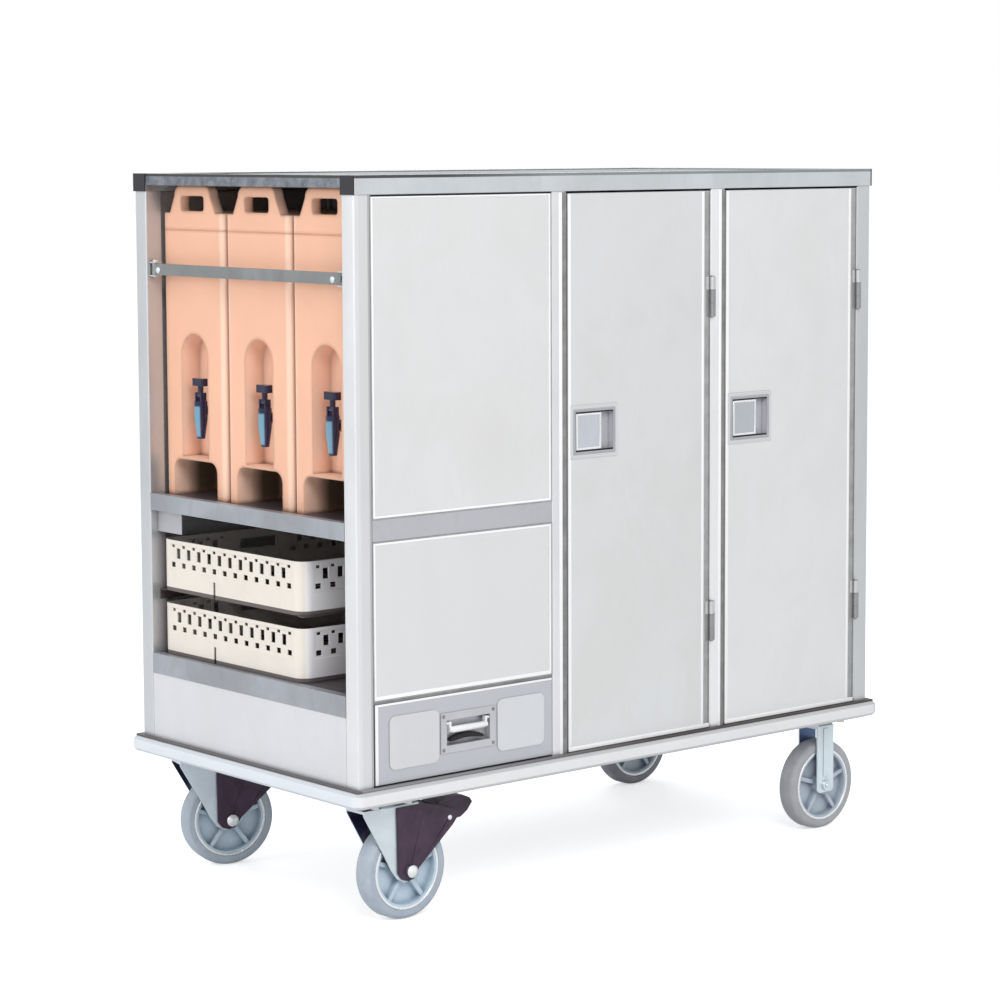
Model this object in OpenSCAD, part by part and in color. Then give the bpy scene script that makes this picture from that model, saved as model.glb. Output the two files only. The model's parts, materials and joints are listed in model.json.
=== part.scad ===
// Enclosed meal tray cart: an open end bay with three beverage containers over two dish racks,
// a drawer under them, and two tray bays with hinged doors, on two swivel and two rigid casters.
// +X runs along the long side towards the closed end, -Y is the door side, +Z is up.
// The origin is on the floor under the middle of the cart.

/* [Body] */
// Depth of the body from front to back
body_d = 762; // [750:2:840]
// Height of the posts from the deck to the top rail
post_h = 1172; // [1150:2:1300]
// Width of the square posts
post_w = 40; // [36:1:44]
// Radius on the edges of the posts
post_r = 3; // [1:0.5:6]
// Wall of the posts, rails and frame tubes
tube_t = 3; // [2:0.5:4]
// Thickness of the panels, shelves and partitions
sheet_t = 2; // [1.5:0.5:3]
// Depth of the folded edge of a panel
panel_depth = 20; // [16:1:30]
// How far the panel faces lie behind the post faces
panel_inset = 1; // [0:0.5:3]
// Width of each door bay between its posts
door_bay_w = 416; // [380:2:440]
// Width of the open end bay between its posts
end_bay_w = 468; // [440:2:500]

/* [Top] */
// Height of the top rail
rail_h = 38; // [32:1:46]
// Height of the cross rail over the open end
end_rail_h = 25; // [20:1:32]
// How far the top rail stands out past the posts
rail_over = 3; // [1:1:6]
// Thickness of the end plugs of the long top rails
plug_t = 3; // [2:0.5:5]
// How far the roof sheet lies below the top of the rail
roof_drop = 3; // [1:1:10]

/* [Base and bumper] */
// Height of the base frame tubes
base_h = 35; // [30:1:45]
// Thickness of the deck
deck_t = 3; // [2:0.5:5]
// Thickness of the caster mounting pads
pad_t = 5; // [4:0.5:8]
// Height of the bumper
bumper_h = 32; // [26:1:36]
// How far the bumper stands out past the body
bumper_out = 22; // [15:1:30]
// How far the top of the bumper lies below the top of the deck
bumper_drop = 1; // [0:0.5:3]
// Chamfer on the edges of the bumper
bumper_chamfer = 6; // [3:1:10]

/* [End bay] */
// Height of the top of the container shelf rail above the deck
container_rail_z = 530; // [500:2:560]
// Height of the container shelf rail
container_rail_h = 36; // [30:1:42]
// How far the container shelf lies below the top of its rail
container_sheet_drop = 3; // [2:0.5:6]
// Height of the top of the rack shelf above the deck
rack_shelf_z = 185; // [180:1:200]
// Height of the rack shelf rail
rack_rail_h = 43; // [36:1:48]
// Depth of the shelf rails
shelf_rail_d = 20; // [15:1:30]
// Height of the bottom of the dark strip between the fixed front panels
mid_strip_z = 492; // [486:1:500]
// Height of the dark strip between the fixed front panels
mid_strip_h = 44; // [36:1:50]

/* [Retaining bar] */
// How far the middle of the retaining bar lies below the top of the posts
bar_drop = 164; // [140:2:260]
// Height of the bar section
bar_h = 24; // [18:1:30]
// Thickness of the bar section
bar_t = 8; // [5:0.5:10]
// Distance of the bar from the open end
bar_x = 14; // [12:0.5:20]
// Radius of the pivot pin of the bar
bar_pin_r = 4; // [3:0.5:5]
// Distance of the pivot pin from the post
bar_pin_gap = 14; // [13:0.5:18]

/* [Containers] */
// Gap between neighbouring containers
container_gap = 9; // [4:1:14]
// Distance of the outer containers from the front and back of the body
container_side = 39; // [36:1:46]
// Free space behind the containers
container_rear = 67; // [40:1:100]
// Free height between the lid seams and the top of the posts
container_head = 81; // [78:1:120]
// Distance of the container fronts behind the posts
container_back = 3; // [1:1:8]
// Radius on the upright edges of a container
container_r = 12; // [8:1:30]
// Thickness of the insulated wall of a container
container_wall = 24; // [16:1:30]
// Height of a lid above its seam
lid_h = 36; // [30:1:40]
// Height of the carrying loop on a lid
loop_h = 57; // [48:1:60]
// Thickness of the carrying loop
loop_t = 22; // [16:1:26]
// Width of the tap recess
recess_w = 96; // [80:2:110]
// Height of the tap recess
recess_h = 262; // [220:2:280]
// Depth of the tap recess
recess_d = 46; // [40:1:55]
// Width of the foot cut-out
foot_w = 158; // [120:2:170]
// Height of the foot cut-out
foot_h = 78; // [50:1:84]
// Depth of the foot cut-out
foot_d = 110; // [50:1:130]

/* [Taps] */
// Height of the tap pivot above the container shelf
tap_pivot_z = 216; // [200:1:230]
// Radius of the tap body
tap_r = 14; // [10:0.5:16]
// Radius of the tap pivot pin
tap_pin_r = 2.5; // [2:0.5:3]

/* [Dish racks] */
// Free space behind the dish racks
rack_rear = 5; // [4:1:20]
// Height of a dish rack
rack_h = 110; // [90:1:114]
// Height between the two dish racks
rack_pitch = 137; // [130:1:150]
// Wall of a dish rack
rack_t = 4; // [3:0.5:6]
// Radius on the corners of a dish rack
rack_r = 28; // [20:1:50]
// Distance of the rack fronts from the open end
rack_x = 19; // [14:1:24]
// Distance of the racks from the back of the opening
rack_side_gap = 10; // [6:1:30]

/* [Tray slides] */
// Number of tray levels in each door bay
tray_levels = 7; // [5:1:9]
// Height of the lowest tray slides above the deck
tray_z = 120; // [80:5:150]
// Height between tray levels
tray_pitch = 150; // [110:1:152]
// How far a tray slide reaches into the door opening
slide_reach = 25; // [15:1:35]
// Height of the folded edge of a tray slide
slide_fold = 12; // [8:1:20]

/* [Doors] */
// Gap around each door
door_gap = 4; // [3.5:0.5:6]
// Thickness of a door
door_t = 25; // [22:1:32]
// Height of a door hinge
hinge_h = 86; // [60:1:110]
// Height of the low hinge above the deck
hinge_low_z = 195; // [150:5:260]
// How far the bottom of the high hinge lies below the top of the posts
hinge_high_drop = 274; // [220:2:320]
// Radius of the hinge knuckles
knuckle_r = 5; // [4.5:0.5:6]
// Radius of the hinge pins
hinge_pin_r = 2.5; // [2:0.5:3]
// Width of a hinge leaf
leaf_w = 14; // [12:1:24]
// Thickness of a hinge leaf
leaf_t = 1.5; // [1:0.5:2]

/* [Door latches] */
// Height of the middle of the latches above the deck
latch_z = 674; // [500:2:800]
// Width of the latch cup
cup_w = 133; // [120:1:150]
// Height of the latch cup
cup_h = 111; // [100:1:130]
// Distance of the cup from the free edge of the door
cup_x = 6; // [5:1:20]
// Depth of the latch cup
cup_d = 18; // [16:0.5:20]
// Width of the flange round the cup
cup_rim = 10; // [6:1:14]
// Height of the flange over the door
cup_lip = 1.5; // [1:0.5:3]
// Width of the paddle
paddle_w = 70; // [60:1:80]
// Height of the paddle
paddle_h = 76; // [60:1:80]
// Thickness of the paddle
paddle_t = 3; // [2:0.5:4]
// Radius of the paddle pin
paddle_pin_r = 2; // [1.5:0.5:2.5]
// Side of the square latch bolt
bolt_s = 8; // [6:0.5:8]
// How far the latch bolt slides
bolt_travel = 3; // [2:0.5:3]

/* [Drawer] */
// Height of the drawer front
drawer_h = 162; // [150:1:166]
// Gap around the drawer front
drawer_gap = 2; // [1.5:0.5:4]
// Gap under the drawer front
drawer_lift = 6; // [4:0.5:10]
// Length of the drawer box
drawer_l = 680; // [500:5:690]
// Height of the drawer box
drawer_box_h = 118; // [80:1:120]
// Wall of the drawer box
drawer_t = 1.5; // [1:0.5:3]
// Width taken by a drawer slide
runner_w = 12; // [10:0.5:16]
// Height of a drawer slide
runner_h = 45; // [35:1:60]
// Width of the pull plate
pull_w = 144; // [120:1:160]
// Height of the pull plate
pull_h = 83; // [70:1:100]
// Height of the bottom of the pull plate above the deck
pull_z = 47; // [40:1:60]
// Side of the raised pads on the drawer front
pad_w = 126; // [90:1:130]
// Height of the raised pads
pad_h = 108; // [80:1:120]
// How far the pads stand out
pad_out = 2; // [1:0.5:4]

/* [Casters] */
// Height of a caster from the floor to its top plate
caster_h = 254; // [240:1:280]
// Radius of the wheels
wheel_r = 101.5; // [95:0.5:105]
// Width of the tread
tread_w = 46; // [40:1:48]
// Radius of the wheel core
core_r = 82; // [70:1:88]
// Number of ribs on each side of the core
wheel_ribs = 5; // [4:1:9]
// Radius of the axles
axle_r = 6.3; // [5:0.1:8]
// Distance of the swivel axis from the open end
swivel_x = 108; // [90:1:120]
// Distance of the rigid casters from the closed end
rigid_x = 89; // [70:1:120]
// Distance of the caster middles from the front and back
caster_y = 70; // [58:1:100]
// How far a swivel wheel trails behind its swivel axis
trail = 50; // [40:1:60]
// Angle that the back swivel caster is turned towards the front
back_turn = 15; // [0:1:30]
// Radius of the kingpin
kingpin_r = 8; // [6:0.5:10]
// Thickness of the fork legs
fork_t = 4; // [4:0.5:6]
// Thickness of the brake side plates
brake_t = 4; // [3:0.5:5]

/* [Clearances] */
// Gap between parts that move past each other
slip = 0.3; // [0.3:0.1:0.4]
// Radial clearance of a pin in its bore
fit = 0.05; // [0.02:0.01:0.08]

/* [Hidden] */
$fn = 48;
pin_fn = 32;
cut = 1;

z_base = caster_h;
z_deck = caster_h + base_h + deck_t;

// Left edges of the four rows of posts, from the open end
post_x = [0, end_bay_w + post_w, end_bay_w + door_bay_w + 2 * post_w,
    end_bay_w + 2 * door_bay_w + 3 * post_w];
body_l = post_x[3] + post_w;
opening_w = body_d - 2 * post_w;
back_y = body_d - post_w;
rail_w = post_w + rail_over;
// The near face of the sheet in the middle of the second row of posts
bay_wall_x = post_x[1] + post_w / 2 - sheet_t / 2;
front_clear_y = panel_inset + panel_depth;
back_clear_y = body_d - front_clear_y;

bar_z = post_h - bar_drop;
hinge_high_z = post_h - hinge_high_drop;

door_w = door_bay_w - 2 * door_gap;
door_h = post_h - 2 * door_gap;
door_x = [post_x[1] + post_w + door_gap, post_x[2] + post_w + door_gap];
hinge_axis_x = door_w + door_gap / 2;
hinge_axis_y = -knuckle_r;
knuckle_gap = 0.5;
door_knuckle_h = hinge_h / 3 - knuckle_gap;
leaf_clear = 0.5;

cup_wall = 1.5;
cup_in_x = cup_rim + cup_wall;
paddle_axis_x = cup_in_x + 9;
paddle_axis_y = 7;
paddle_hub_r = 5;
paddle_edge = 4;
bolt_hole = bolt_s + 1;
bolt_y = 8;
bolt_nose = door_gap / 2;
bolt_end = cup_x + paddle_axis_x - paddle_pin_r - bolt_travel - 0.5;
strike_t = 1;
strike_w = 26;
strike_y = 2;
strike_h = 46;

drawer_w = end_bay_w - 2 * drawer_gap;
drawer_front_t = 20;
box_x = post_w + runner_w;
box_w = end_bay_w - 2 * runner_w;
box_z = 12;
runner_z = 48;
runner_wall = 1.5;
runner_clear = 0.5;
runner_end_gap = 1.5;
recess_margin = 14;
pull_d = 16;
pull_wall = 1.5;
pull_lip = 2;
pull_x = post_w + (end_bay_w - pull_w) / 2 + 6;
bail_r = 5;
bail_drop = 13;
bail_pin_r = 3;
bail_y = 3.5;
bail_z = pull_z + pull_h - recess_margin - 9;
bail_half = pull_w / 2 - recess_margin - pull_wall - 7;
pad_gap = 5;
pad_r = 14;

container_z = container_rail_z - container_sheet_drop;
container_h = post_h - container_head - container_z;
container_x = post_w + container_back;
container_pitch = (body_d - 2 * container_side + container_gap) / 3;
container_w = container_pitch - container_gap;
container_d = bay_wall_x - container_x - container_rear;
container_y = [for (i = [1, 0, -1]) body_d / 2 + i * container_pitch];
recess_z = foot_h + 6;
tap_out = 15;
tap_x = container_x + tap_out;
tap_shank_r = 8;
tap_shank_drop = 34;
tap_shank_l = recess_d - tap_out;

rack_w = bay_wall_x - rack_x - rack_rear;
rack_y = back_y - rack_side_gap - rack_w;
rack_low_z = rack_shelf_z + slip;
ledge_w = 22;
ledge_lap = 15;
strap_w = 20;

wheel_y = [caster_y, body_d - caster_y];
axle_z = wheel_r;
hub_half = 25;
leg_in = hub_half + 1;
leg_out = leg_in + fork_t;
brake_in = leg_out + slip;
brake_out = brake_in + brake_t;
plate_t = 5;
plate_l = 115;
plate_w = 100;
race_h = 5;
race_r = 38;
fork_top_t = 6;
fork_top_z = caster_h - plate_t - race_h - slip - race_h;
fork_reach = plate_l * 0.56;
rigid_leg_half = wheel_r * 0.26;
pedal_x = 102;
pedal_z = 95;
pedal_pin_r = 4;

// ---------- shared shapes ----------

// Places children in body coordinates: open end, door side and deck top at zero
module at_body() {
    translate([-body_l / 2, -body_d / 2, z_deck])
        children();
}

// Straight tube with open ends, its length along the given axis
module tube(size, axis) {
    inner = [for (i = [0:2]) i == axis ? size[i] + 2 * cut : size[i] - 2 * tube_t];
    shift = [for (i = [0:2]) i == axis ? -cut : tube_t];
    difference() {
        cube(size);
        translate(shift)
            cube(inner);
    }
}

// Rectangle with round corners
module rounded(size, r) {
    translate([r, 0])
        square([size[0] - 2 * r, size[1]]);
    translate([0, r])
        square([size[0], size[1] - 2 * r]);
    for (x = [r, size[0] - r], y = [r, size[1] - r])
        translate([x, y])
            circle(r);
}

// Round-cornered plate or block standing on the XY plane
module rounded_block(size, r) {
    linear_extrude(size[2])
        rounded([size[0], size[1]], r);
}

// Sheet panel in the XZ plane with its face at y = 0 and four edges folded towards +Y
module pan(w, h, depth) {
    difference() {
        cube([w, depth, h]);
        translate([sheet_t, sheet_t, sheet_t])
            cube([w - 2 * sheet_t, depth, h - 2 * sheet_t]);
    }
}

// The same panel in the YZ plane, with its edges folded towards +X
module end_pan(w, h, depth) {
    difference() {
        cube([depth, w, h]);
        translate([sheet_t, sheet_t, sheet_t])
            cube([depth, w - 2 * sheet_t, h - 2 * sheet_t]);
    }
}

// Cylinder along X or along Y that starts at the origin
module rod_x(r, l) {
    rotate([0, 90, 0])
        cylinder(r = r, h = l);
}

module rod_y(r, l) {
    rotate([-90, 0, 0])
        cylinder(r = r, h = l);
}

// ---------- base ----------

module base_frame() {
    pad_l = 2 * (swivel_x - post_w);
    pad_w = caster_y + plate_w / 2 - post_w;
    cross_x = [0, post_w + pad_l, body_l / 2 - post_w / 2, body_l - 2 * rigid_x, body_l - post_w];
    color("silver")
        translate([-body_l / 2, -body_d / 2, z_base]) {
            for (y = [0, back_y])
                translate([0, y, 0])
                    tube([body_l, post_w, base_h], 0);
            for (x = cross_x)
                translate([x, post_w, 0])
                    tube([post_w, opening_w, base_h], 1);
            for (y = [post_w, back_y - pad_w]) {
                translate([post_w, y, 0])
                    cube([pad_l, pad_w, pad_t]);
                translate([cross_x[3] + post_w, y, 0])
                    cube([cross_x[4] - cross_x[3] - post_w, pad_w, pad_t]);
            }
        }
}

module deck_panel() {
    color("lightgray")
        at_body()
            translate([0, 0, -deck_t])
                cube([body_l, body_d, deck_t]);
}

// Section of the bumper, outwards along X from the body
module bumper_section() {
    polygon([[0, 0], [bumper_out - bumper_chamfer, 0], [bumper_out, bumper_chamfer],
        [bumper_out, bumper_h - bumper_chamfer], [bumper_out - bumper_chamfer, bumper_h], [0, bumper_h]]);
}

module bumper() {
    color("whitesmoke")
        at_body()
            translate([0, 0, -bumper_drop - bumper_h]) {
                translate([0, 0, 0])
                    rotate([90, 0, 90])
                        mirror([1, 0, 0])
                            linear_extrude(body_l)
                                bumper_section();
                translate([0, body_d, 0])
                    rotate([90, 0, 90])
                        linear_extrude(body_l)
                            bumper_section();
                translate([body_l, body_d, 0])
                    rotate([90, 0, 0])
                        linear_extrude(body_d)
                            bumper_section();
                translate([0, body_d, 0])
                    rotate([90, 0, 0])
                        mirror([1, 0, 0])
                            linear_extrude(body_d)
                                bumper_section();
                for (c = [[0, 0, 180], [body_l, 0, 270], [body_l, body_d, 0], [0, body_d, 90]])
                    translate([c[0], c[1], 0])
                        rotate([0, 0, c[2]])
                            rotate_extrude(angle = 90)
                                bumper_section();
            }
}

// ---------- body frame ----------

module posts() {
    color("gainsboro")
        at_body()
            for (x = post_x, y = [0, back_y])
                translate([x, y, 0])
                    difference() {
                        rounded_block([post_w, post_w, post_h], post_r);
                        translate([tube_t, tube_t, -cut])
                            cube([post_w - 2 * tube_t, post_w - 2 * tube_t, post_h + 2 * cut]);
                    }
}

module top_rails() {
    rail_l = body_l + 2 * (rail_over - plug_t);
    cross_w = rail_w - plug_t;
    color("lightsteelblue")
        at_body()
            translate([0, 0, post_h]) {
                for (y = [-rail_over, back_y])
                    translate([plug_t - rail_over, y, 0])
                        tube([rail_l, rail_w, rail_h], 0);
                translate([plug_t - rail_over, post_w, rail_h - end_rail_h])
                    tube([cross_w, opening_w, end_rail_h], 1);
                translate([body_l - post_w, post_w, 0])
                    tube([cross_w, opening_w, rail_h], 1);
            }
}

module rail_end_plugs() {
    stub = 12;
    for (y = [-rail_over, back_y], side = [0, 1])
        color("dimgray")
            at_body()
                translate([side * body_l, y, post_h])
                    mirror([side, 0, 0])
                        translate([-rail_over, 0, 0]) {
                            cube([plug_t, rail_w, rail_h]);
                            translate([plug_t, tube_t, tube_t])
                                cube([stub, rail_w - 2 * tube_t, rail_h - 2 * tube_t]);
                        }
}

module roof_panel() {
    fold = 16;
    color("lightgray")
        at_body()
            translate([post_w, post_w, post_h + rail_h - roof_drop - fold])
                difference() {
                    cube([body_l - 2 * post_w, opening_w, fold]);
                    translate([sheet_t, sheet_t, -cut])
                        cube([body_l - 2 * post_w - 2 * sheet_t, opening_w - 2 * sheet_t, fold - sheet_t + cut]);
                }
}

// ---------- skins ----------

module back_and_end_panels() {
    bay_w = [end_bay_w, door_bay_w, door_bay_w];
    color("lightgray")
        at_body() {
            for (i = [0:2])
                translate([post_x[i] + post_w, body_d - panel_inset, 0])
                    mirror([0, 1, 0])
                        pan(bay_w[i], post_h, panel_depth);
            translate([body_l - panel_inset, post_w, 0])
                mirror([1, 0, 0])
                    end_pan(opening_w, post_h, post_w / 2 - sheet_t / 2 - panel_inset);
        }
}

module partitions() {
    color("lightgray")
        at_body()
            for (i = [1:3])
                translate([post_x[i] + post_w / 2 - sheet_t / 2, post_w, 0])
                    cube([sheet_t, opening_w, post_h]);
}

module side_panels() {
    low_z = drawer_lift + drawer_h + drawer_lift;
    high_z = mid_strip_z + mid_strip_h;
    color("lightgray")
        at_body()
            for (z = [[low_z, mid_strip_z], [high_z, post_h]])
                translate([post_w, panel_inset, z[0]])
                    pan(end_bay_w, z[1] - z[0], panel_depth);
}

module side_mid_strip() {
    color("darkgray")
        at_body()
            translate([post_w, panel_inset, mid_strip_z])
                tube([end_bay_w, panel_depth, mid_strip_h], 0);
}

module end_apron() {
    color("lightgray")
        at_body()
            translate([panel_inset, post_w, 0])
                end_pan(opening_w, rack_shelf_z - rack_rail_h, panel_depth);
}

// ---------- end bay ----------

// Shelf sheet with its top at z, cut out round the posts and folded down at its long edges
module bay_sheet(z) {
    fold = 20;
    translate([0, 0, z - sheet_t]) {
        translate([shelf_rail_d, post_w, 0])
            cube([post_w - shelf_rail_d, opening_w, sheet_t]);
        translate([post_w, front_clear_y, 0])
            cube([end_bay_w, back_clear_y - front_clear_y, sheet_t]);
        translate([post_x[1], post_w, 0])
            cube([bay_wall_x - post_x[1], opening_w, sheet_t]);
        for (y = [front_clear_y, back_clear_y - sheet_t])
            translate([post_w, y, sheet_t - fold])
                cube([end_bay_w, sheet_t, fold]);
    }
}

module shelf_rail(top, h) {
    translate([0, post_w, top - h])
        tube([shelf_rail_d, opening_w, h], 1);
}

module container_shelf() {
    color("lightsteelblue")
        at_body() {
            shelf_rail(container_rail_z, container_rail_h);
            bay_sheet(container_z);
        }
}

module rack_shelf() {
    color("lightsteelblue")
        at_body() {
            shelf_rail(rack_shelf_z, rack_rail_h);
            bay_sheet(rack_shelf_z);
        }
}

module rack_guides() {
    ledge_z = rack_low_z + rack_pitch - slip;
    ledge_l = bay_wall_x - rack_x - 2;
    near_y = rack_y - ledge_w + ledge_lap;
    under_shelf = container_z - sheet_t;
    gusset = [90, 47];
    color("silver")
        at_body() {
            // Angle under the far edge of the upper rack, on the inner faces of the posts
            translate([rack_x + 2, back_y - ledge_w, ledge_z - sheet_t])
                cube([ledge_l, ledge_w, sheet_t]);
            translate([rack_x + 2, back_y - sheet_t, ledge_z - ledge_w])
                cube([ledge_l, sheet_t, ledge_w - sheet_t]);
            // Angle under the near edge, hung from the container shelf on two straps
            translate([rack_x + 2, near_y, ledge_z - sheet_t])
                cube([ledge_l, ledge_w, sheet_t]);
            for (x = [rack_x + 144, bay_wall_x - 60])
                translate([x, near_y, ledge_z])
                    cube([strap_w, sheet_t, under_shelf - ledge_z]);
            // Gusset between the far post and the container shelf rail
            translate([shelf_rail_d - sheet_t, back_y - gusset[0],
                    container_rail_z - container_rail_h - gusset[1]])
                cube([sheet_t, gusset[0], gusset[1]]);
        }
}

// One tray slide along Y that carries a tray edge on its top face
module tray_slide(width) {
    translate([0, 0, -sheet_t])
        cube([width, opening_w, sheet_t]);
    translate([0, 0, -slide_fold])
        cube([sheet_t, opening_w, slide_fold - sheet_t]);
}

module tray_slides() {
    width = post_w / 2 - sheet_t / 2 + slide_reach;
    color("silver")
        at_body()
            for (bay = [1, 2], level = [0:tray_levels - 1])
                translate([0, post_w, tray_z + level * tray_pitch]) {
                    translate([post_x[bay] + post_w / 2 + sheet_t / 2, 0, 0])
                        tray_slide(width);
                    translate([post_x[bay + 1] + post_w / 2 - sheet_t / 2, 0, 0])
                        mirror([1, 0, 0])
                            tray_slide(width);
                }
}

// ---------- beverage containers ----------

// Upright opening with a round top, its bottom in the middle of the X axis, drawn in XY
module arch(w, h) {
    translate([-w / 2, 0])
        square([w, h - w / 2]);
    translate([0, h - w / 2])
        circle(w / 2);
}

// Turns a drawing into a block that runs from x = 0 towards +X, upright in YZ
module towards_x(depth) {
    rotate([90, 0, 90])
        linear_extrude(depth)
            children();
}

module container_body() {
    tank_front = recess_d + 10;
    tank_floor = recess_z + 40;
    foot_r = 24;
    difference() {
        translate([0, -container_w / 2, 0])
            rounded_block([container_d, container_w, container_h], container_r);
        translate([-cut, 0, recess_z])
            towards_x(recess_d + cut)
                arch(recess_w, recess_h);
        translate([-cut, 0, -foot_r])
            towards_x(foot_d + cut)
                translate([-foot_w / 2, 0])
                    rounded([foot_w, foot_h + foot_r], foot_r);
        translate([tank_front, container_wall - container_w / 2, tank_floor])
            cube([container_d - tank_front - container_wall, container_w - 2 * container_wall, container_h]);
        // Bore for the tap shank
        translate([recess_d - cut, 0, tap_pivot_z - tap_shank_drop])
            rod_x(tap_shank_r, tank_front - recess_d + 2 * cut);
    }
}

module beverage_containers() {
    color("peachpuff")
        at_body()
            for (y = container_y)
                translate([container_x, y, container_z])
                    container_body();
}

// Outline of the carrying loop, drawn upright in YZ
module loop_outline() {
    top_w = 130;
    foot = 166;
    corner = 20;
    slot = [84, 32];
    slot_z = 4;
    difference() {
        union() {
            polygon([[-foot / 2, 0], [foot / 2, 0], [top_w / 2, loop_h - corner], [-top_w / 2, loop_h - corner]]);
            translate([-top_w / 2 + corner, loop_h - 2 * corner])
                square([top_w - 2 * corner, 2 * corner]);
            for (side = [-1, 1])
                translate([side * (top_w / 2 - corner), loop_h - corner])
                    circle(corner);
        }
        translate([-slot[0] / 2, slot_z])
            rounded(slot, 7);
    }
}

module container_lids() {
    color("peachpuff")
        at_body()
            for (y = container_y)
                translate([container_x, y, container_z + container_h]) {
                    translate([0, -container_w / 2, 0])
                        rounded_block([container_d, container_w, lid_h], container_r);
                    translate([0, 0, lid_h])
                        towards_x(loop_t)
                            loop_outline();
                }
}

// Tap with its pivot at the origin, the container on its +X side
module tap_body() {
    ear_t = 4;
    ear_in = tap_r / 2 + slip;
    body_top = -12;
    body_bottom = -52;
    spout_bottom = -92;
    difference() {
        union() {
            translate([0, 0, body_bottom])
                cylinder(r = tap_r, h = body_top - body_bottom);
            translate([0, 0, spout_bottom])
                cylinder(r1 = tap_r * 0.6, r2 = tap_r, h = body_bottom - spout_bottom);
            for (side = [0, 1])
                mirror([0, side, 0])
                    translate([-7, ear_in, body_top - cut])
                        cube([14, ear_t, 6 - body_top + cut]);
            translate([0, 0, -tap_shank_drop])
                rod_x(tap_shank_r, tap_shank_l + 8);
            translate([tap_shank_l - 5, 0, -tap_shank_drop])
                rod_x(tap_shank_r + 7, 5);
        }
        translate([0, 0, spout_bottom - cut])
            cylinder(r = tap_r * 0.4, h = 40);
        translate([0, -tap_r - cut, 0])
            rod_y(tap_pin_r, 2 * tap_r + 2 * cut);
    }
    translate([0, -ear_in - ear_t, 0])
        rod_y(tap_pin_r, 2 * ear_in + 2 * ear_t);
}

module tap_bodies() {
    color("midnightblue")
        at_body()
            for (y = container_y)
                translate([tap_x, y, container_z + tap_pivot_z])
                    tap_body();
}

module tap_lever(i) {
    knob = [20, 40, 16];
    knob_z = 20;
    color("navy")
        at_body()
            translate([tap_x, container_y[i], container_z + tap_pivot_z])
                difference() {
                    union() {
                        translate([0, -tap_r / 2, 0])
                            rod_y(6, tap_r);
                        cylinder(r = 6, h = knob_z + 1);
                        translate([-knob[0] / 2, -knob[1] / 2, knob_z])
                            rounded_block(knob, 6);
                    }
                    translate([0, -tap_r, 0])
                        rod_y(tap_pin_r + fit, 2 * tap_r);
                }
}

// ---------- dish racks ----------

// Holes in one side of a rack, cut along +Y through a wall whose outer face is at y = 0.
// The middle columns, as many as skip says, are left closed.
module rack_lattice(depth, skip) {
    columns = 11;
    pitch = rack_w * 0.075;
    tall = [rack_w * 0.028, rack_h * 0.2];
    low = [rack_w * 0.028, rack_h * 0.1];
    high = [rack_w * 0.02, rack_h * 0.055];
    middle = (columns - 1) / 2;
    for (i = [0:columns - 1])
        if (abs(i - middle) >= skip / 2)
            translate([(i - middle) * pitch - tall[0] / 2, -cut, rack_h * 0.65])
                cube([tall[0], depth + 2 * cut, tall[1]]);
    for (i = [-0.5:columns - 0.5])
        if (abs(i - middle) >= skip / 2) {
            translate([(i - middle) * pitch - low[0] / 2, -cut, rack_h * 0.475])
                cube([low[0], depth + 2 * cut, low[1]]);
            translate([(i - middle) * pitch - high[0] / 2, -cut, rack_h * 0.86])
                cube([high[0], depth + 2 * cut, high[1]]);
        }
}

module rack(x) {
    rim_h = 8;
    floor_t = 5;
    cells = 9;
    rib = 8;
    inner = rack_w - 2 * rack_t;
    cell = (inner - 2 * rack_r) / cells;
    field_w = rack_w * 0.87;
    recess = 1.5;
    notch = [8, rack_h * 0.32];
    notch_x = -rack_w * 0.118;
    handle = [rack_w * 0.19, rack_h * 0.2];
    handle_columns = 5;
    at_body()
        translate([x, rack_y, 0])
            difference() {
                rounded_block([rack_w, rack_w, rack_h], rack_r);
                translate([rack_t, rack_t, floor_t])
                    rounded_block([inner, inner, rack_h], rack_r - rack_t);
                // Open grid in the floor
                for (i = [0:cells - 1], j = [0:cells - 1])
                    translate([rack_t + rack_r + i * cell + rib / 2, rack_t + rack_r + j * cell + rib / 2, -cut])
                        cube([cell - rib, cell - rib, floor_t + 2 * cut]);
                for (side = [0:3])
                    translate([rack_w / 2, rack_w / 2, 0])
                        rotate([0, 0, 90 * side])
                            translate([0, -rack_w / 2, 0]) {
                                // Shallow field round the lattice
                                translate([-field_w / 2, -cut, rack_h * 0.43])
                                    cube([field_w, recess + cut, rack_h * 0.57 - rim_h]);
                                rack_lattice(rack_t, side % 2 == 1 ? 0 : handle_columns);
                                if (side % 2 == 1)
                                    translate([notch_x, -cut, -cut])
                                        cube([notch[0], rack_t + 2 * cut, notch[1] + cut]);
                                else
                                    translate([-handle[0] / 2, -cut, rack_h * 0.62])
                                        cube([handle[0], rack_t + 2 * cut, handle[1]]);
                            }
            }
}

module upper_rack() {
    color("ivory")
        translate([0, 0, rack_low_z + rack_pitch])
            rack(rack_x);
}

module lower_rack() {
    color("ivory")
        translate([0, 0, rack_low_z])
            rack(rack_x);
}

// ---------- retaining bar ----------

bar_pivot_y = back_y - bar_pin_gap;
eye_r = bar_pin_r + 4.5;
bracket_t = 3;
saddle_d = 18;

module retaining_bar() {
    bar_end_y = post_w + bracket_t + 4;
    color("silver")
        at_body()
            translate([bar_x, 0, bar_z - bar_h / 2])
                difference() {
                    union() {
                        translate([-bar_t / 2, bar_end_y, 0])
                            cube([bar_t, bar_pivot_y - bar_end_y, bar_h]);
                        translate([0, bar_pivot_y, 0])
                            cylinder(r = eye_r, h = bar_h);
                        // Locking screw head near the free end
                        translate([-bar_t / 2 - 4, bar_end_y + 10, bar_h / 2])
                            rod_x(6, 5);
                    }
                    translate([0, bar_pivot_y, -cut])
                        cylinder(r = bar_pin_r + fit, h = bar_h + 2 * cut);
                }
}

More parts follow.
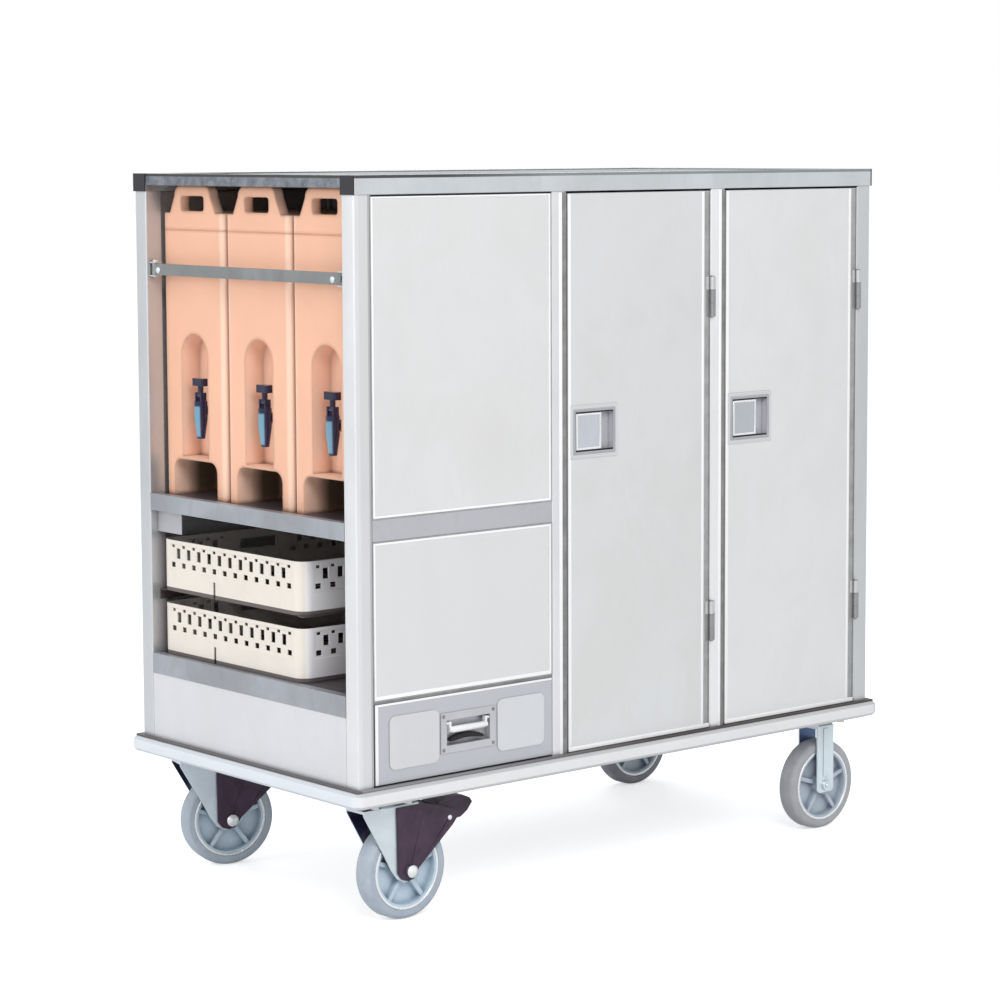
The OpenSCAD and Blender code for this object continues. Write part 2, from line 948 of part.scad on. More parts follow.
module bar_brackets() {
    ear_z = bar_h / 2 + 0.5;
    ear_l = bar_pin_gap + eye_r;
    width = 2 * eye_r;
    color("gainsboro")
        at_body() {
            // Pivot bracket with two ears, and its pin, on the far post
            translate([bar_x - width / 2, 0, bar_z])
                difference() {
                    union() {
                        translate([0, back_y - bracket_t, -ear_z - bracket_t])
                            cube([width, bracket_t, 2 * (ear_z + bracket_t)]);
                        for (z = [-ear_z - bracket_t, ear_z])
                            translate([0, back_y - ear_l, z])
                                cube([width, ear_l, bracket_t]);
                    }
                    translate([width / 2, bar_pivot_y, -ear_z - bracket_t - cut])
                        cylinder(r = bar_pin_r, h = 2 * (ear_z + bracket_t + cut));
                }
            translate([bar_x, bar_pivot_y, bar_z - ear_z - bracket_t - 2])
                cylinder(r = bar_pin_r, h = 2 * (ear_z + bracket_t) + 2);
            translate([bar_x, bar_pivot_y, bar_z + ear_z + bracket_t])
                cylinder(r = bar_pin_r + 3, h = 4);
            // Saddle open to the outside, on the near post
            translate([bar_x - width / 2, post_w, bar_z]) {
                translate([0, 0, -ear_z - bracket_t])
                    cube([width + bracket_t, bracket_t, 2 * (ear_z + bracket_t)]);
                for (z = [-ear_z - bracket_t, ear_z])
                    translate([0, bracket_t, z])
                        cube([width + bracket_t, saddle_d, bracket_t]);
                translate([width, bracket_t, -ear_z])
                    cube([bracket_t, saddle_d, 2 * ear_z]);
            }
        }
}

// ---------- doors ----------

module door_panel(i) {
    cup_box = [cup_w - 2 * cup_rim + 1, cup_h - 2 * cup_rim + 1];
    color("gainsboro")
        at_body()
            translate([door_x[i], 0, door_gap]) {
                difference() {
                    pan(door_w, door_h, door_t - sheet_t);
                    translate([cup_x + cup_rim - 0.5, -cut, latch_z - door_gap - cup_box[1] / 2])
                        cube([cup_box[0], sheet_t + 2 * cut, cup_box[1]]);
                    translate([-cut, bolt_y - 0.5, latch_z - door_gap - bolt_hole / 2])
                        cube([sheet_t + 2 * cut, bolt_hole, bolt_hole]);
                }
                translate([0, door_t - sheet_t, 0])
                    cube([door_w, sheet_t, door_h]);
            }
}

// Places children on the axis of each hinge of a door
module at_hinges(i) {
    at_body()
        for (z = [hinge_low_z, hinge_high_z])
            translate([door_x[i] + hinge_axis_x, hinge_axis_y, z])
                children();
}

// Hinge leaf towards -X with knuckles at the given heights
module leaf(knuckles) {
    plate_x = knuckle_r + leaf_clear;
    difference() {
        union() {
            translate([-leaf_w, knuckle_r - leaf_t, 0])
                cube([leaf_w - plate_x, leaf_t, hinge_h]);
            for (z = knuckles) {
                translate([-leaf_w, knuckle_r - leaf_t, z[0]])
                    cube([leaf_w, leaf_t, z[1]]);
                translate([0, 0, z[0]])
                    cylinder(r = knuckle_r, h = z[1]);
            }
        }
        children();
    }
}

module door_hinge_leaves(i) {
    color("silver")
        at_hinges(i)
            leaf([[hinge_h / 3 + knuckle_gap / 2, door_knuckle_h]])
                translate([0, 0, -cut])
                    cylinder(r = hinge_pin_r + fit, h = hinge_h + 2 * cut);
}

module frame_hardware() {
    end_knuckle = hinge_h / 3 - knuckle_gap / 2;
    color("silver") {
        for (i = [0, 1])
            at_hinges(i) {
                mirror([1, 0, 0])
                    leaf([[0, end_knuckle], [hinge_h - end_knuckle, end_knuckle]])
                        translate([0, 0, -cut])
                            cylinder(r = hinge_pin_r, h = hinge_h + 2 * cut);
                cylinder(r = hinge_pin_r, h = hinge_h);
                translate([0, 0, hinge_h])
                    cylinder(r = hinge_pin_r + 1.5, h = 2);
            }
        // Strike plates on the posts beside the latch bolts
        for (i = [0, 1])
            at_body()
                translate([door_x[i] - door_gap, strike_y, latch_z - strike_h / 2])
                    difference() {
                        cube([strike_t, strike_w, strike_h]);
                        translate([-cut, bolt_y - 0.5 - strike_y, (strike_h - bolt_hole) / 2])
                            cube([strike_t + 2 * cut, bolt_hole, bolt_hole]);
                    }
    }
}

module at_latch(i) {
    at_body()
        translate([door_x[i] + cup_x, 0, latch_z - cup_h / 2])
            children();
}

module latch_cup(i) {
    box = [cup_w - 2 * cup_rim, cup_d, cup_h - 2 * cup_rim];
    color("lightsteelblue")
        at_latch(i) {
            difference() {
                union() {
                    translate([0, -cup_lip, 0])
                        cube([cup_w, cup_lip, cup_h]);
                    translate([cup_rim, 0, cup_rim])
                        cube(box);
                }
                translate([cup_in_x, -cup_lip - cut, cup_in_x])
                    cube([box[0] - 2 * cup_wall, cup_lip + cut + cup_d - cup_wall, box[2] - 2 * cup_wall]);
                translate([cup_rim - cut, bolt_y - 0.5, cup_h / 2 - bolt_hole / 2])
                    cube([cup_wall + 2 * cut, bolt_hole, bolt_hole]);
            }
            translate([paddle_axis_x, paddle_axis_y, cup_in_x])
                cylinder(r = paddle_pin_r, h = cup_h - 2 * cup_in_x, $fn = pin_fn);
        }
}

module paddle(i) {
    hub_gap = bolt_hole + 4;
    low = (cup_h - paddle_h) / 2;
    color("aliceblue")
        at_latch(i)
            difference() {
                union() {
                    translate([paddle_axis_x - paddle_edge, 0, low])
                        cube([paddle_w, paddle_t, paddle_h]);
                    for (z = [low, (cup_h + hub_gap) / 2])
                        translate([paddle_axis_x, paddle_axis_y, z])
                            cylinder(r = paddle_hub_r, h = (paddle_h - hub_gap) / 2);
                }
                translate([paddle_axis_x, paddle_axis_y, 0])
                    cylinder(r = paddle_pin_r + fit, h = cup_h, $fn = pin_fn);
            }
}

module latch_bolt(i) {
    color("silver")
        at_body()
            translate([door_x[i] - bolt_nose, bolt_y, latch_z - bolt_s / 2])
                cube([bolt_end + bolt_nose, bolt_s, bolt_s]);
}

// ---------- drawer ----------

module drawer_front() {
    hole = [pull_w - 2 * recess_margin + 1, pull_h - 2 * recess_margin + 1];
    pads = [pull_x - pad_gap - pad_w, pull_x + pull_w + pad_gap];
    color("gainsboro")
        at_body() {
            difference() {
                translate([post_w + drawer_gap, 0, drawer_lift])
                    pan(drawer_w, drawer_h, drawer_front_t - sheet_t);
                translate([pull_x + recess_margin - 0.5, -cut, pull_z + recess_margin - 0.5])
                    cube([hole[0], sheet_t + 2 * cut, hole[1]]);
            }
            translate([post_w + drawer_gap, drawer_front_t - sheet_t, drawer_lift])
                cube([drawer_w, sheet_t, drawer_h]);
            for (x = pads)
                translate([x, 0, pull_z + (pull_h - pad_h) / 2 - 2])
                    rotate([90, 0, 0])
                        rounded_block([pad_w, pad_h, pad_out], pad_r);
        }
}

// Places the pieces of the drawer box behind the drawer front
module at_drawer_box() {
    at_body()
        translate([box_x, drawer_front_t, box_z])
            children();
}

module drawer_floor() {
    color("silver")
        at_drawer_box()
            cube([box_w, drawer_l, drawer_t]);
}

module drawer_side_walls() {
    color("silver")
        at_drawer_box()
            for (x = [0, box_w - drawer_t])
                translate([x, 0, drawer_t])
                    cube([drawer_t, drawer_l, drawer_box_h - drawer_t]);
}

module drawer_end_walls() {
    color("silver")
        at_drawer_box()
            for (y = [0, drawer_l - drawer_t])
                translate([drawer_t, y, drawer_t])
                    cube([box_w - 2 * drawer_t, drawer_t, drawer_box_h - drawer_t]);
}

module drawer_slide_bars() {
    bar = [runner_w - runner_wall - runner_clear, drawer_l, runner_h - 2 * runner_wall - 2 * runner_clear];
    color("silver")
        at_drawer_box()
            for (x = [-bar[0], box_w])
                translate([x, 0, runner_z + runner_wall + runner_clear - box_z])
                    cube(bar);
}

module drawer_runners() {
    runner_l = back_clear_y - drawer_front_t - 2 * runner_end_gap;
    for (side = [0, 1])
        color("silver")
            at_body()
                translate([post_w + side * end_bay_w, drawer_front_t + runner_end_gap, runner_z])
                    mirror([side, 0, 0])
                        difference() {
                            cube([runner_w - runner_clear, runner_l, runner_h]);
                            translate([runner_wall, -cut, runner_wall])
                                cube([runner_w, runner_l + 2 * cut, runner_h - 2 * runner_wall]);
                        }
}

module drawer_pull_plate() {
    box = [pull_w - 2 * recess_margin, pull_d, pull_h - 2 * recess_margin];
    color("lightgray")
        at_body()
            translate([pull_x, 0, pull_z])
                difference() {
                    union() {
                        translate([0, -pull_lip, 0])
                            cube([pull_w, pull_lip, pull_h]);
                        translate([recess_margin, 0, recess_margin])
                            cube(box);
                    }
                    translate([recess_margin + pull_wall, -pull_lip - cut, recess_margin + pull_wall])
                        cube([box[0] - 2 * pull_wall, pull_lip + cut + pull_d - pull_wall, box[2] - 2 * pull_wall]);
                    translate([recess_margin - cut, bail_y, bail_z - pull_z])
                        rod_x(bail_pin_r + fit, box[0] + 2 * cut);
                }
}

module drawer_bail() {
    color("white")
        at_body()
            translate([pull_x + pull_w / 2, bail_y, bail_z]) {
                pin_half = pull_w / 2 - recess_margin - 0.5;
                for (x = [-pin_half, bail_half - bail_r / 2])
                    translate([x, 0, 0])
                        rod_x(bail_pin_r, pin_half - bail_half + bail_r / 2);
                for (x = [-bail_half, bail_half - bail_r])
                    translate([x, -bail_r, -bail_drop])
                        cube([bail_r, 2 * bail_r - 1, bail_drop + 4]);
                translate([-bail_half, -bail_r + 2, -bail_drop])
                    rod_x(bail_r, 2 * bail_half);
            }
}

// ---------- casters ----------

// Places children on the floor under the swivel axis of a left caster, 0 front and 1 back
module under_swivel(i) {
    translate([swivel_x - body_l / 2, wheel_y[i] - body_d / 2, 0])
        children();
}

// The same place, turned as the caster is
module at_swivel(i) {
    under_swivel(i)
        rotate([0, 0, -i * back_turn])
            children();
}

module at_rigid(i) {
    translate([body_l / 2 - rigid_x, wheel_y[i] - body_d / 2, 0])
        children();
}

bolt_dx = 42;
bolt_dy = 36;
bolt_hole_r = 5.5;
bolt_shank_r = 5;
bolt_head_r = 9;
bolt_head_h = 6;

module top_plate() {
    difference() {
        translate([-plate_l / 2, -plate_w / 2, caster_h - plate_t])
            rounded_block([plate_l, plate_w, plate_t], 10);
        for (x = [-bolt_dx, bolt_dx], y = [-bolt_dy, bolt_dy])
            translate([x, y, caster_h - plate_t - cut])
                cylinder(r = bolt_hole_r, h = plate_t + 2 * cut);
    }
}

module swivel_plates() {
    nut_h = 7;
    pin_low = fork_top_z - fork_top_t - slip;
    race_low = caster_h - plate_t - race_h;
    color("lightsteelblue")
        for (i = [0, 1])
            under_swivel(i) {
                top_plate();
                translate([0, 0, race_low])
                    cylinder(r1 = race_r - 5, r2 = race_r, h = race_h);
                // Kingpin with its nut under the fork
                translate([0, 0, pin_low - nut_h])
                    cylinder(r = kingpin_r, h = race_low - pin_low + nut_h + 1);
                translate([0, 0, pin_low - nut_h])
                    cylinder(r = kingpin_r + 5, h = nut_h);
            }
}

module caster_bolts() {
    color("silver")
        for (i = [0, 1], x = [-bolt_dx, bolt_dx], y = [-bolt_dy, bolt_dy]) {
            under_swivel(i)
                caster_bolt(x, y);
            at_rigid(i)
                caster_bolt(x, y);
        }
}

module caster_bolt(x, y) {
    translate([x, y, caster_h - plate_t - bolt_head_h]) {
        cylinder(r = bolt_head_r, h = bolt_head_h, $fn = 6);
        cylinder(r = bolt_shank_r, h = bolt_head_h + plate_t);
    }
}

// Side outline of a swivel fork in XZ, about its axle
module swivel_leg_outline(top) {
    polygon(concat([[-trail - fork_reach, top], [-trail - fork_reach, top - wheel_r * 0.1]],
        wheel_r * [[-0.66, 0.44], [-0.46, 0.07], [-0.32, -0.12], [-0.14, -0.22], [0.08, -0.20], [0.26, 0],
            [0.29, 0.59]],
        [[plate_l * 0.65 - trail, top]]));
}

// Turns a drawing in XZ into a plate that runs from y = 0 towards +Y
module towards_y(depth) {
    translate([0, depth, 0])
        rotate([90, 0, 0])
            linear_extrude(depth)
                children();
}

module axle(r, half) {
    head = 6;
    translate([0, -half, 0])
        rod_y(r, 2 * half);
    for (y = [-half - head, half])
        translate([0, y, 0])
            rod_y(11, head);
}

module fork(i) {
    leg_top = fork_top_z - axle_z;
    boss_r = race_r - 4;
    color("lightsteelblue")
        at_swivel(i) {
            translate([trail, 0, axle_z]) {
                difference() {
                    union() {
                        for (y = [-leg_out, leg_in])
                            translate([0, y, 0])
                                towards_y(fork_t)
                                    swivel_leg_outline(leg_top);
                        translate([-trail - fork_reach, -leg_out, leg_top - fork_top_t])
                            cube([fork_reach + plate_l * 0.65, 2 * leg_out, fork_top_t]);
                        translate([-trail, 0, leg_top - 0.5])
                            cylinder(r1 = boss_r, r2 = boss_r - 4, h = race_h + 0.5);
                    }
                    translate([-trail, 0, leg_top - fork_top_t - cut])
                        cylinder(r = kingpin_r + fit, h = fork_top_t + race_h + 2 * cut);
                    translate([0, -leg_out - cut, 0])
                        rod_y(axle_r, 2 * (leg_out + cut));
                }
                axle(axle_r, brake_out);
                // Pivot pin of the brake pedal
                translate([pedal_x, -brake_out, pedal_z])
                    rod_y(pedal_pin_r, 2 * brake_out);
            }
        }
}

module brake_plates(i) {
    bridge = [wheel_r * 0.32, wheel_r * 0.2];
    color([0.2, 0.13, 0.2])
        at_swivel(i)
            translate([trail, 0, axle_z])
                difference() {
                    union() {
                        for (y = [-brake_out, brake_in])
                            translate([0, y, 0])
                                towards_y(brake_t)
                                    polygon(wheel_r * [[-0.33, 1.31], [-0.31, -0.02], [-0.21, -0.15],
                                        [-0.06, -0.20], [0.08, -0.17], [0.22, 0.04], [1.10, 0.79],
                                        [1.19, 0.90], [1.15, 1.08], [0.70, 1.24], [0.36, 1.31]]);
                        // Bridge over the wheel behind the fork
                        translate([wheel_r * 0.29, -brake_out, wheel_r * 1.04])
                            cube([bridge[0], 2 * brake_out, bridge[1]]);
                    }
                    translate([0, -brake_out - cut, 0])
                        rod_y(axle_r, 2 * (brake_out + cut));
                    translate([pedal_x, -brake_out - cut, pedal_z])
                        rod_y(pedal_pin_r, 2 * (brake_out + cut));
                }
}

module brake_pedal(i) {
    half = brake_in - 0.5;
    shoe_half = 18;
    color([0.15, 0.1, 0.12])
        at_swivel(i)
            translate([trail, 0, axle_z])
                difference() {
                    union() {
                        translate([pedal_x, -half, pedal_z])
                            rod_y(9, 2 * half);
                        translate([0, -half + 4, 0])
                            towards_y(2 * half - 8)
                                polygon(wheel_r * [[0.70, 1.10], [0.94, 0.93], [1.10, 0.86], [1.36, 0.88],
                                    [1.53, 0.99], [1.66, 1.15], [1.60, 1.24], [1.42, 1.32], [0.98, 1.33],
                                    [0.74, 1.22]]);
                        translate([0, -shoe_half, 0])
                            towards_y(2 * shoe_half)
                                polygon(wheel_r * [[0.82, 0.625], [0.88, 0.595], [1.08, 0.88], [0.94, 0.96]]);
                    }
                    translate([pedal_x, -half - cut, pedal_z])
                        rod_y(pedal_pin_r + fit, 2 * (half + cut));
                }
}

// Side outline of a rigid fork in XZ, about its axle
module rigid_leg_outline(top) {
    end_r = rigid_leg_half * 0.4;
    below = rigid_leg_half * 0.62;
    translate([-rigid_leg_half, -below])
        rounded([2 * rigid_leg_half, 2 * below], end_r);
    translate([-rigid_leg_half, 0])
        square([2 * rigid_leg_half, top]);
}

module rigid_forks() {
    leg_top = fork_top_z - axle_z;
    half_top = rigid_leg_half;
    crown_half = bolt_dy - bolt_head_r - 1;
    rib_half = wheel_r * 0.07;
    rib_low = wheel_r * 0.2;
    rib_out = 2;
    color("lightsteelblue")
        for (i = [0, 1])
            at_rigid(i) {
                top_plate();
                translate([0, 0, axle_z]) {
                    difference() {
                        union() {
                            for (y = [-leg_out, leg_in])
                                translate([0, y, 0])
                                    towards_y(fork_t)
                                        rigid_leg_outline(leg_top);
                            // Pressed rib down the outside of each leg
                            for (y = [-leg_out - rib_out, leg_in])
                                translate([-rib_half, y, rib_low])
                                    cube([2 * rib_half, fork_t + rib_out, leg_top - fork_top_t - rib_low]);
                            translate([-half_top, -leg_out, leg_top - fork_top_t])
                                cube([2 * half_top, 2 * leg_out, fork_top_t]);
                            translate([-half_top, -crown_half, leg_top - 0.5])
                                cube([2 * half_top, 2 * crown_half, caster_h - plate_t - fork_top_z + 0.5]);
                        }
                        translate([0, -leg_out - cut, 0])
                            rod_y(axle_r, 2 * (leg_out + cut));
                    }
                    axle(axle_r, leg_out);
                }
            }
}

module at_wheel(side, i) {
    if (side == 0)
        at_swivel(i)
            translate([trail, 0, axle_z])
                children();
    else
        at_rigid(i)
            translate([0, 0, axle_z])
                children();
}

module wheel_core(side, i) {
    hub_r = 22;
    rim_in = core_r - 10;
    rim_half = tread_w / 2 - 2;
    web_half = 5;
    rib_t = 9;
    rib_half = rim_half - 4;
    color("lightsteelblue")
        at_wheel(side, i)
            rotate([90, 0, 0])
                difference() {
                    union() {
                        translate([0, 0, -hub_half])
                            cylinder(r = hub_r, h = 2 * hub_half);
                        translate([0, 0, -web_half])
                            cylinder(r = rim_in + 1, h = 2 * web_half);
                        difference() {
                            translate([0, 0, -rim_half])
                                cylinder(r = core_r, h = 2 * rim_half);
                            translate([0, 0, -rim_half - cut])
                                cylinder(r = rim_in, h = 2 * (rim_half + cut));
                        }
                        for (k = [0:wheel_ribs - 1])
                            rotate([0, 0, 90 + k * 360 / wheel_ribs])
                                translate([hub_r - 2, -rib_t / 2, -rib_half])
                                    cube([rim_in - hub_r + 3, rib_t, 2 * rib_half]);
                    }
                    translate([0, 0, -hub_half - cut])
                        cylinder(r = axle_r + fit, h = 2 * (hub_half + cut));
                }
}

module tyre(side, i) {
    shoulder = 5;
    half = tread_w / 2;
    color("lightslategray")
        at_wheel(side, i)
            rotate([90, 0, 0])
                rotate_extrude($fn = 96)
                    polygon([[core_r, -half], [wheel_r - shoulder - 3, -half], [wheel_r - 2, -half + shoulder],
                        [wheel_r, -half + shoulder + 6], [wheel_r, half - shoulder - 6],
                        [wheel_r - 2, half - shoulder], [wheel_r - shoulder - 3, half], [core_r, half]]);
}

// ---------- the nodes ----------

base_frame();
deck_panel();
bumper();
posts();
top_rails();
rail_end_plugs();
roof_panel();
back_and_end_panels();
partitions();
side_panels();
side_mid_strip();
container_shelf();
rack_shelf();
rack_guides();
end_apron();
tray_slides();
drawer_runners();
frame_hardware();
bar_brackets();
beverage_containers();
container_lids();
tap_bodies();
swivel_plates();
rigid_forks();
caster_bolts();
door_panel(0);  // door_1_panel
door_hinge_leaves(0);  // door_1_hinge_leaves
latch_cup(0);  // door_1_latch_cup
paddle(0);  // door_1_paddle
latch_bolt(0);  // door_1_bolt
door_panel(1);  // door_2_panel
door_hinge_leaves(1);  // door_2_hinge_leaves
latch_cup(1);  // door_2_latch_cup
paddle(1);  // door_2_paddle
latch_bolt(1);  // door_2_bolt
drawer_front();
drawer_floor();
drawer_side_walls();
drawer_end_walls();
drawer_slide_bars();
drawer_pull_plate();
drawer_bail();
retaining_bar();
upper_rack();
lower_rack();
tap_lever(0);  // tap_lever_back
tap_lever(1);  // tap_lever_middle
tap_lever(2);  // tap_lever_front
fork(0);  // fork_front
fork(1);  // fork_back
brake_plates(0);  // brake_plates_front
brake_plates(1);  // brake_plates_back
brake_pedal(0);  // brake_pedal_front
brake_pedal(1);  // brake_pedal_back
wheel_core(0, 0);  // wheel_core_front_left
wheel_core(0, 1);  // wheel_core_back_left
wheel_core(1, 0);  // wheel_core_front_right
wheel_core(1, 1);  // wheel_core_back_right
tyre(0, 0);  // tyre_front_left
tyre(0, 1);  // tyre_back_left
tyre(1, 0);  // tyre_front_right
tyre(1, 1);  // tyre_back_right
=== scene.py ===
import json
import math
import bmesh
import bpy
from mathutils import Matrix, Vector

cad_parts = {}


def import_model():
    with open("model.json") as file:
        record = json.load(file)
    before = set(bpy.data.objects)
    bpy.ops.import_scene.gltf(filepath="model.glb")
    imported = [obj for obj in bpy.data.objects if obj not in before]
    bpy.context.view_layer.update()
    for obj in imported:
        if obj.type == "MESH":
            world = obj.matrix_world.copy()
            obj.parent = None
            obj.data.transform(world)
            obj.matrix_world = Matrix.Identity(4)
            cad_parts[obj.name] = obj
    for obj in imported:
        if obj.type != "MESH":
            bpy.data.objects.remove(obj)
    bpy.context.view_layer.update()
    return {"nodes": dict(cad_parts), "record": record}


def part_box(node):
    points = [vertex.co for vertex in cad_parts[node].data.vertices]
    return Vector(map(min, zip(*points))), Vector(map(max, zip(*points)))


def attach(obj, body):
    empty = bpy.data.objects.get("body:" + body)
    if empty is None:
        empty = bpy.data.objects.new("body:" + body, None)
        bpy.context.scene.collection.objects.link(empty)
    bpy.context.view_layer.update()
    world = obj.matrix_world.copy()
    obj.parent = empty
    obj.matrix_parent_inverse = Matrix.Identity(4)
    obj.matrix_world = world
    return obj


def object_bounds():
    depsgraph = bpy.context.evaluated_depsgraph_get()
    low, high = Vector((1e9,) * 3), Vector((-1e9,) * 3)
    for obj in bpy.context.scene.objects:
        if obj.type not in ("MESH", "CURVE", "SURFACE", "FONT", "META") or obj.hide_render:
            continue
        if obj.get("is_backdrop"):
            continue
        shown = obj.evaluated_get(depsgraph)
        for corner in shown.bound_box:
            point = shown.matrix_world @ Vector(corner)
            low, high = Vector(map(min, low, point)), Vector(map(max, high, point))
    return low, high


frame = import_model()
NODES = frame["nodes"]
MM = 0.001

# ---------------------------------------------------------------- places, in mm of the body

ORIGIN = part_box("posts")[0]


def at(x, y, z):
    """Body coordinates in mm (open end, door side and deck top at 0) to the row frame in metres."""
    return ORIGIN + Vector((x, y, z)) * MM


def mm_box(node_name):
    """Lowest and highest corner of a node at rest, in body coordinates."""
    return [(corner - ORIGIN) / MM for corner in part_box(node_name)]


def middle(node_name):
    lo, hi = mm_box(node_name)
    return (lo + hi) / 2


# Sizes of the construction that no box of a node gives
POST_W = 40
SHEET_T = 2
SHELF_RAIL_D = 20
DOOR_GAP = 4
CONTAINER_GAP = 9
CONTAINER_R = 12
RECESS_W = 96
HINGE_H = 86
KNUCKLE_R = 5
BAR_T = 8
PADDLE_W = 70
BAIL_R = 5
PEDAL_X, PEDAL_Z = 260, -95.5
BACK_TURN = -15

# Half the gap between a fork's legs, and a height just under its head
FORK_IN = 26.3
FORK_HEAD = -64

# Places and sizes from the frame
BODY_L, BODY_D, POST_TOP = mm_box("posts")[1]
RAIL_TOP = mm_box("top_rails")[1].z
DOORS = {n: mm_box("door_%d_panel" % n) for n in (1, 2)}
SIDE_LO, SIDE_HI = mm_box("side_panels")
MID_LO, MID_HI = mm_box("side_mid_strip")
BUMPER_LO, BUMPER_HI = mm_box("bumper")
TANK_LO, TANK_HI = mm_box("beverage_containers")
CONTAINER_PITCH = (TANK_HI.y - TANK_LO.y + CONTAINER_GAP) / 3
CONTAINER_W = CONTAINER_PITCH - CONTAINER_GAP
TAP_X = middle("tap_lever_front").x
TAP_FOOT = mm_box("tap_bodies")[0].z
RACK_SIDE = mm_box("lower_rack")[0].y
RACK_FLOORS = [mm_box(rack)[0].z for rack in ("lower_rack", "upper_rack")]
HINGE_LO, HINGE_HI = mm_box("door_1_hinge_leaves")
SWIVEL_X = middle("swivel_plates").x
TRAIL_AXLE_X = middle("tyre_front_left").x
RIGID_X, FRONT_Y, AXLE_Z = middle("tyre_front_right")
BACK_Y = middle("tyre_back_right").y

# ---------------------------------------------------------------- shader parts

MATERIALS = {}


def node(tree, kind, inputs=(), **settings):
    """New shader node: its settings, then its sockets, each given a value or linked to an output."""
    made = tree.nodes.new("ShaderNode" + kind)
    for name, value in settings.items():
        setattr(made, name, value)
    for name, value in dict(inputs).items():
        if isinstance(value, bpy.types.NodeSocket):
            tree.links.new(value, made.inputs[name])
        else:
            made.inputs[name].default_value = value
    return made


def new_material(name, color, rough, metal=0.0, coat=0.0):
    """A material of plain values, kept by its name."""
    material = bpy.data.materials.new(name)
    material.use_nodes = True
    shader = material.node_tree.nodes["Principled BSDF"]
    shader.inputs["Base Color"].default_value = (*color, 1)
    shader.inputs["Roughness"].default_value = rough
    shader.inputs["Metallic"].default_value = metal
    shader.inputs["Coat Weight"].default_value = coat
    MATERIALS[name] = material
    return material.node_tree, shader


def coords(tree, scale=(1, 1, 1)):
    """The row frame at rest, stretched by scale."""
    point = node(tree, "TexCoord").outputs["Object"]
    return node(tree, "Mapping", {"Vector": point, "Scale": scale}).outputs["Vector"]


def noise(tree, vector, scale, detail=4.0, rough=0.55, distortion=0.0):
    inputs = {"Vector": vector, "Scale": scale, "Detail": detail, "Roughness": rough,
              "Distortion": distortion}
    return node(tree, "TexNoise", inputs).outputs["Fac"]


def ramp(tree, value, stops):
    """Colour ramp with two stops, each a position and a colour."""
    made = node(tree, "ValToRGB", {"Fac": value})
    for element, (position, color) in zip(made.color_ramp.elements, stops):
        element.position = position
        element.color = (*color, 1)
    return made.outputs["Color"]


def mix(tree, mask, under, over):
    """Covers one colour with another where the mask is on."""
    over = (*over, 1) if isinstance(over, tuple) else over
    return node(tree, "Mix", {0: mask, 6: under, 7: over}, data_type="RGBA").outputs[2]


def remap(tree, value, lo, hi, a=0.0, b=1.0):
    """Runs from a to b while the value goes from lo to hi."""
    inputs = {"Value": value, "From Min": lo, "From Max": hi, "To Min": a, "To Max": b}
    return node(tree, "MapRange", inputs).outputs["Result"]


def maths(tree, operation, *values):
    return node(tree, "Math", dict(enumerate(values)), operation=operation).outputs[0]


def both(tree, a, b):
    return maths(tree, "MULTIPLY", a, b)


def bump(tree, shader, height, strength, distance, soft):
    """Fine relief, and rounder shading of the edges where soft is their radius in metres."""
    made = node(tree, "Bump", {"Height": height, "Strength": strength, "Distance": distance})
    if soft:
        rounded = node(tree, "Bevel", {"Radius": soft}, samples=6)
        tree.links.new(rounded.outputs["Normal"], made.inputs["Normal"])
    tree.links.new(made.outputs["Normal"], shader.inputs["Normal"])


def corner_shade(tree, color, reach, dark, amount=0.85, lo=0.15, hi=0.85):
    """Painted shade that gathers in corners and joints."""
    openness = node(tree, "AmbientOcclusion", {"Distance": reach}, samples=6).outputs["AO"]
    return mix(tree, remap(tree, openness, lo, hi, amount, 0.0), color, dark)


def place(tree, axis):
    """Length, depth or height of a point at rest, in the row frame."""
    point = node(tree, "TexCoord").outputs["Object"]
    return node(tree, "SeparateXYZ", {0: point}).outputs[axis]


def place_mask(tree, axis, lo, hi, a, b):
    """Runs from a to b between two lengths, depths or heights, in mm of the body."""
    start = ORIGIN["XYZ".index(axis)]
    return remap(tree, place(tree, axis), start + lo * MM, start + hi * MM, a, b)


def past(tree, axis, lo, hi, amount=1.0):
    """Mask that comes on between lo and hi and stays on."""
    return place_mask(tree, axis, lo, hi, 0.0, amount)


def before(tree, axis, lo, hi, amount=1.0):
    """Mask that is on up to lo and off from hi."""
    return place_mask(tree, axis, lo, hi, amount, 0.0)


def between(tree, axis, lo, hi, soft=0.4, amount=1.0):
    """Mask that is on from lo to hi, with edges as wide as soft."""
    return both(tree, past(tree, axis, lo - soft, lo, amount), before(tree, axis, hi, hi + soft))


def across(tree):
    """Distance along Y from the middle of the nearest container, in metres."""
    half = CONTAINER_PITCH * MM / 2
    return maths(tree, "WRAP", place(tree, "Y"), half, -half)


def inside_fork(tree, x, y, degrees):
    """Mask of a fork's inner faces, where the fork stands at x, y and is turned by degrees."""
    angle = math.radians(degrees)
    point = node(tree, "TexCoord").outputs["Object"]
    off = node(tree, "VectorMath", {0: point, 1: at(x, y, 0)}, operation="SUBTRACT").outputs[0]
    out = node(tree, "VectorMath", {0: off, 1: (-math.sin(angle), math.cos(angle), 0)},
               operation="DOT_PRODUCT").outputs["Value"]
    inner = remap(tree, maths(tree, "ABSOLUTE", out), FORK_IN * MM, (FORK_IN + 0.8) * MM, 1.0, 0.0)
    return both(tree, inner, before(tree, "Z", FORK_HEAD, FORK_HEAD + 4))


def shade(color, amount):
    return tuple(min(1, c * amount) for c in color)


# ---------------------------------------------------------------- materials

DRAWN_GRAIN = (1, 1, 0.03)
SMEAR_STRETCH = (1, 1, 0.35)
COOL = (0.98, 0.995, 1.01)


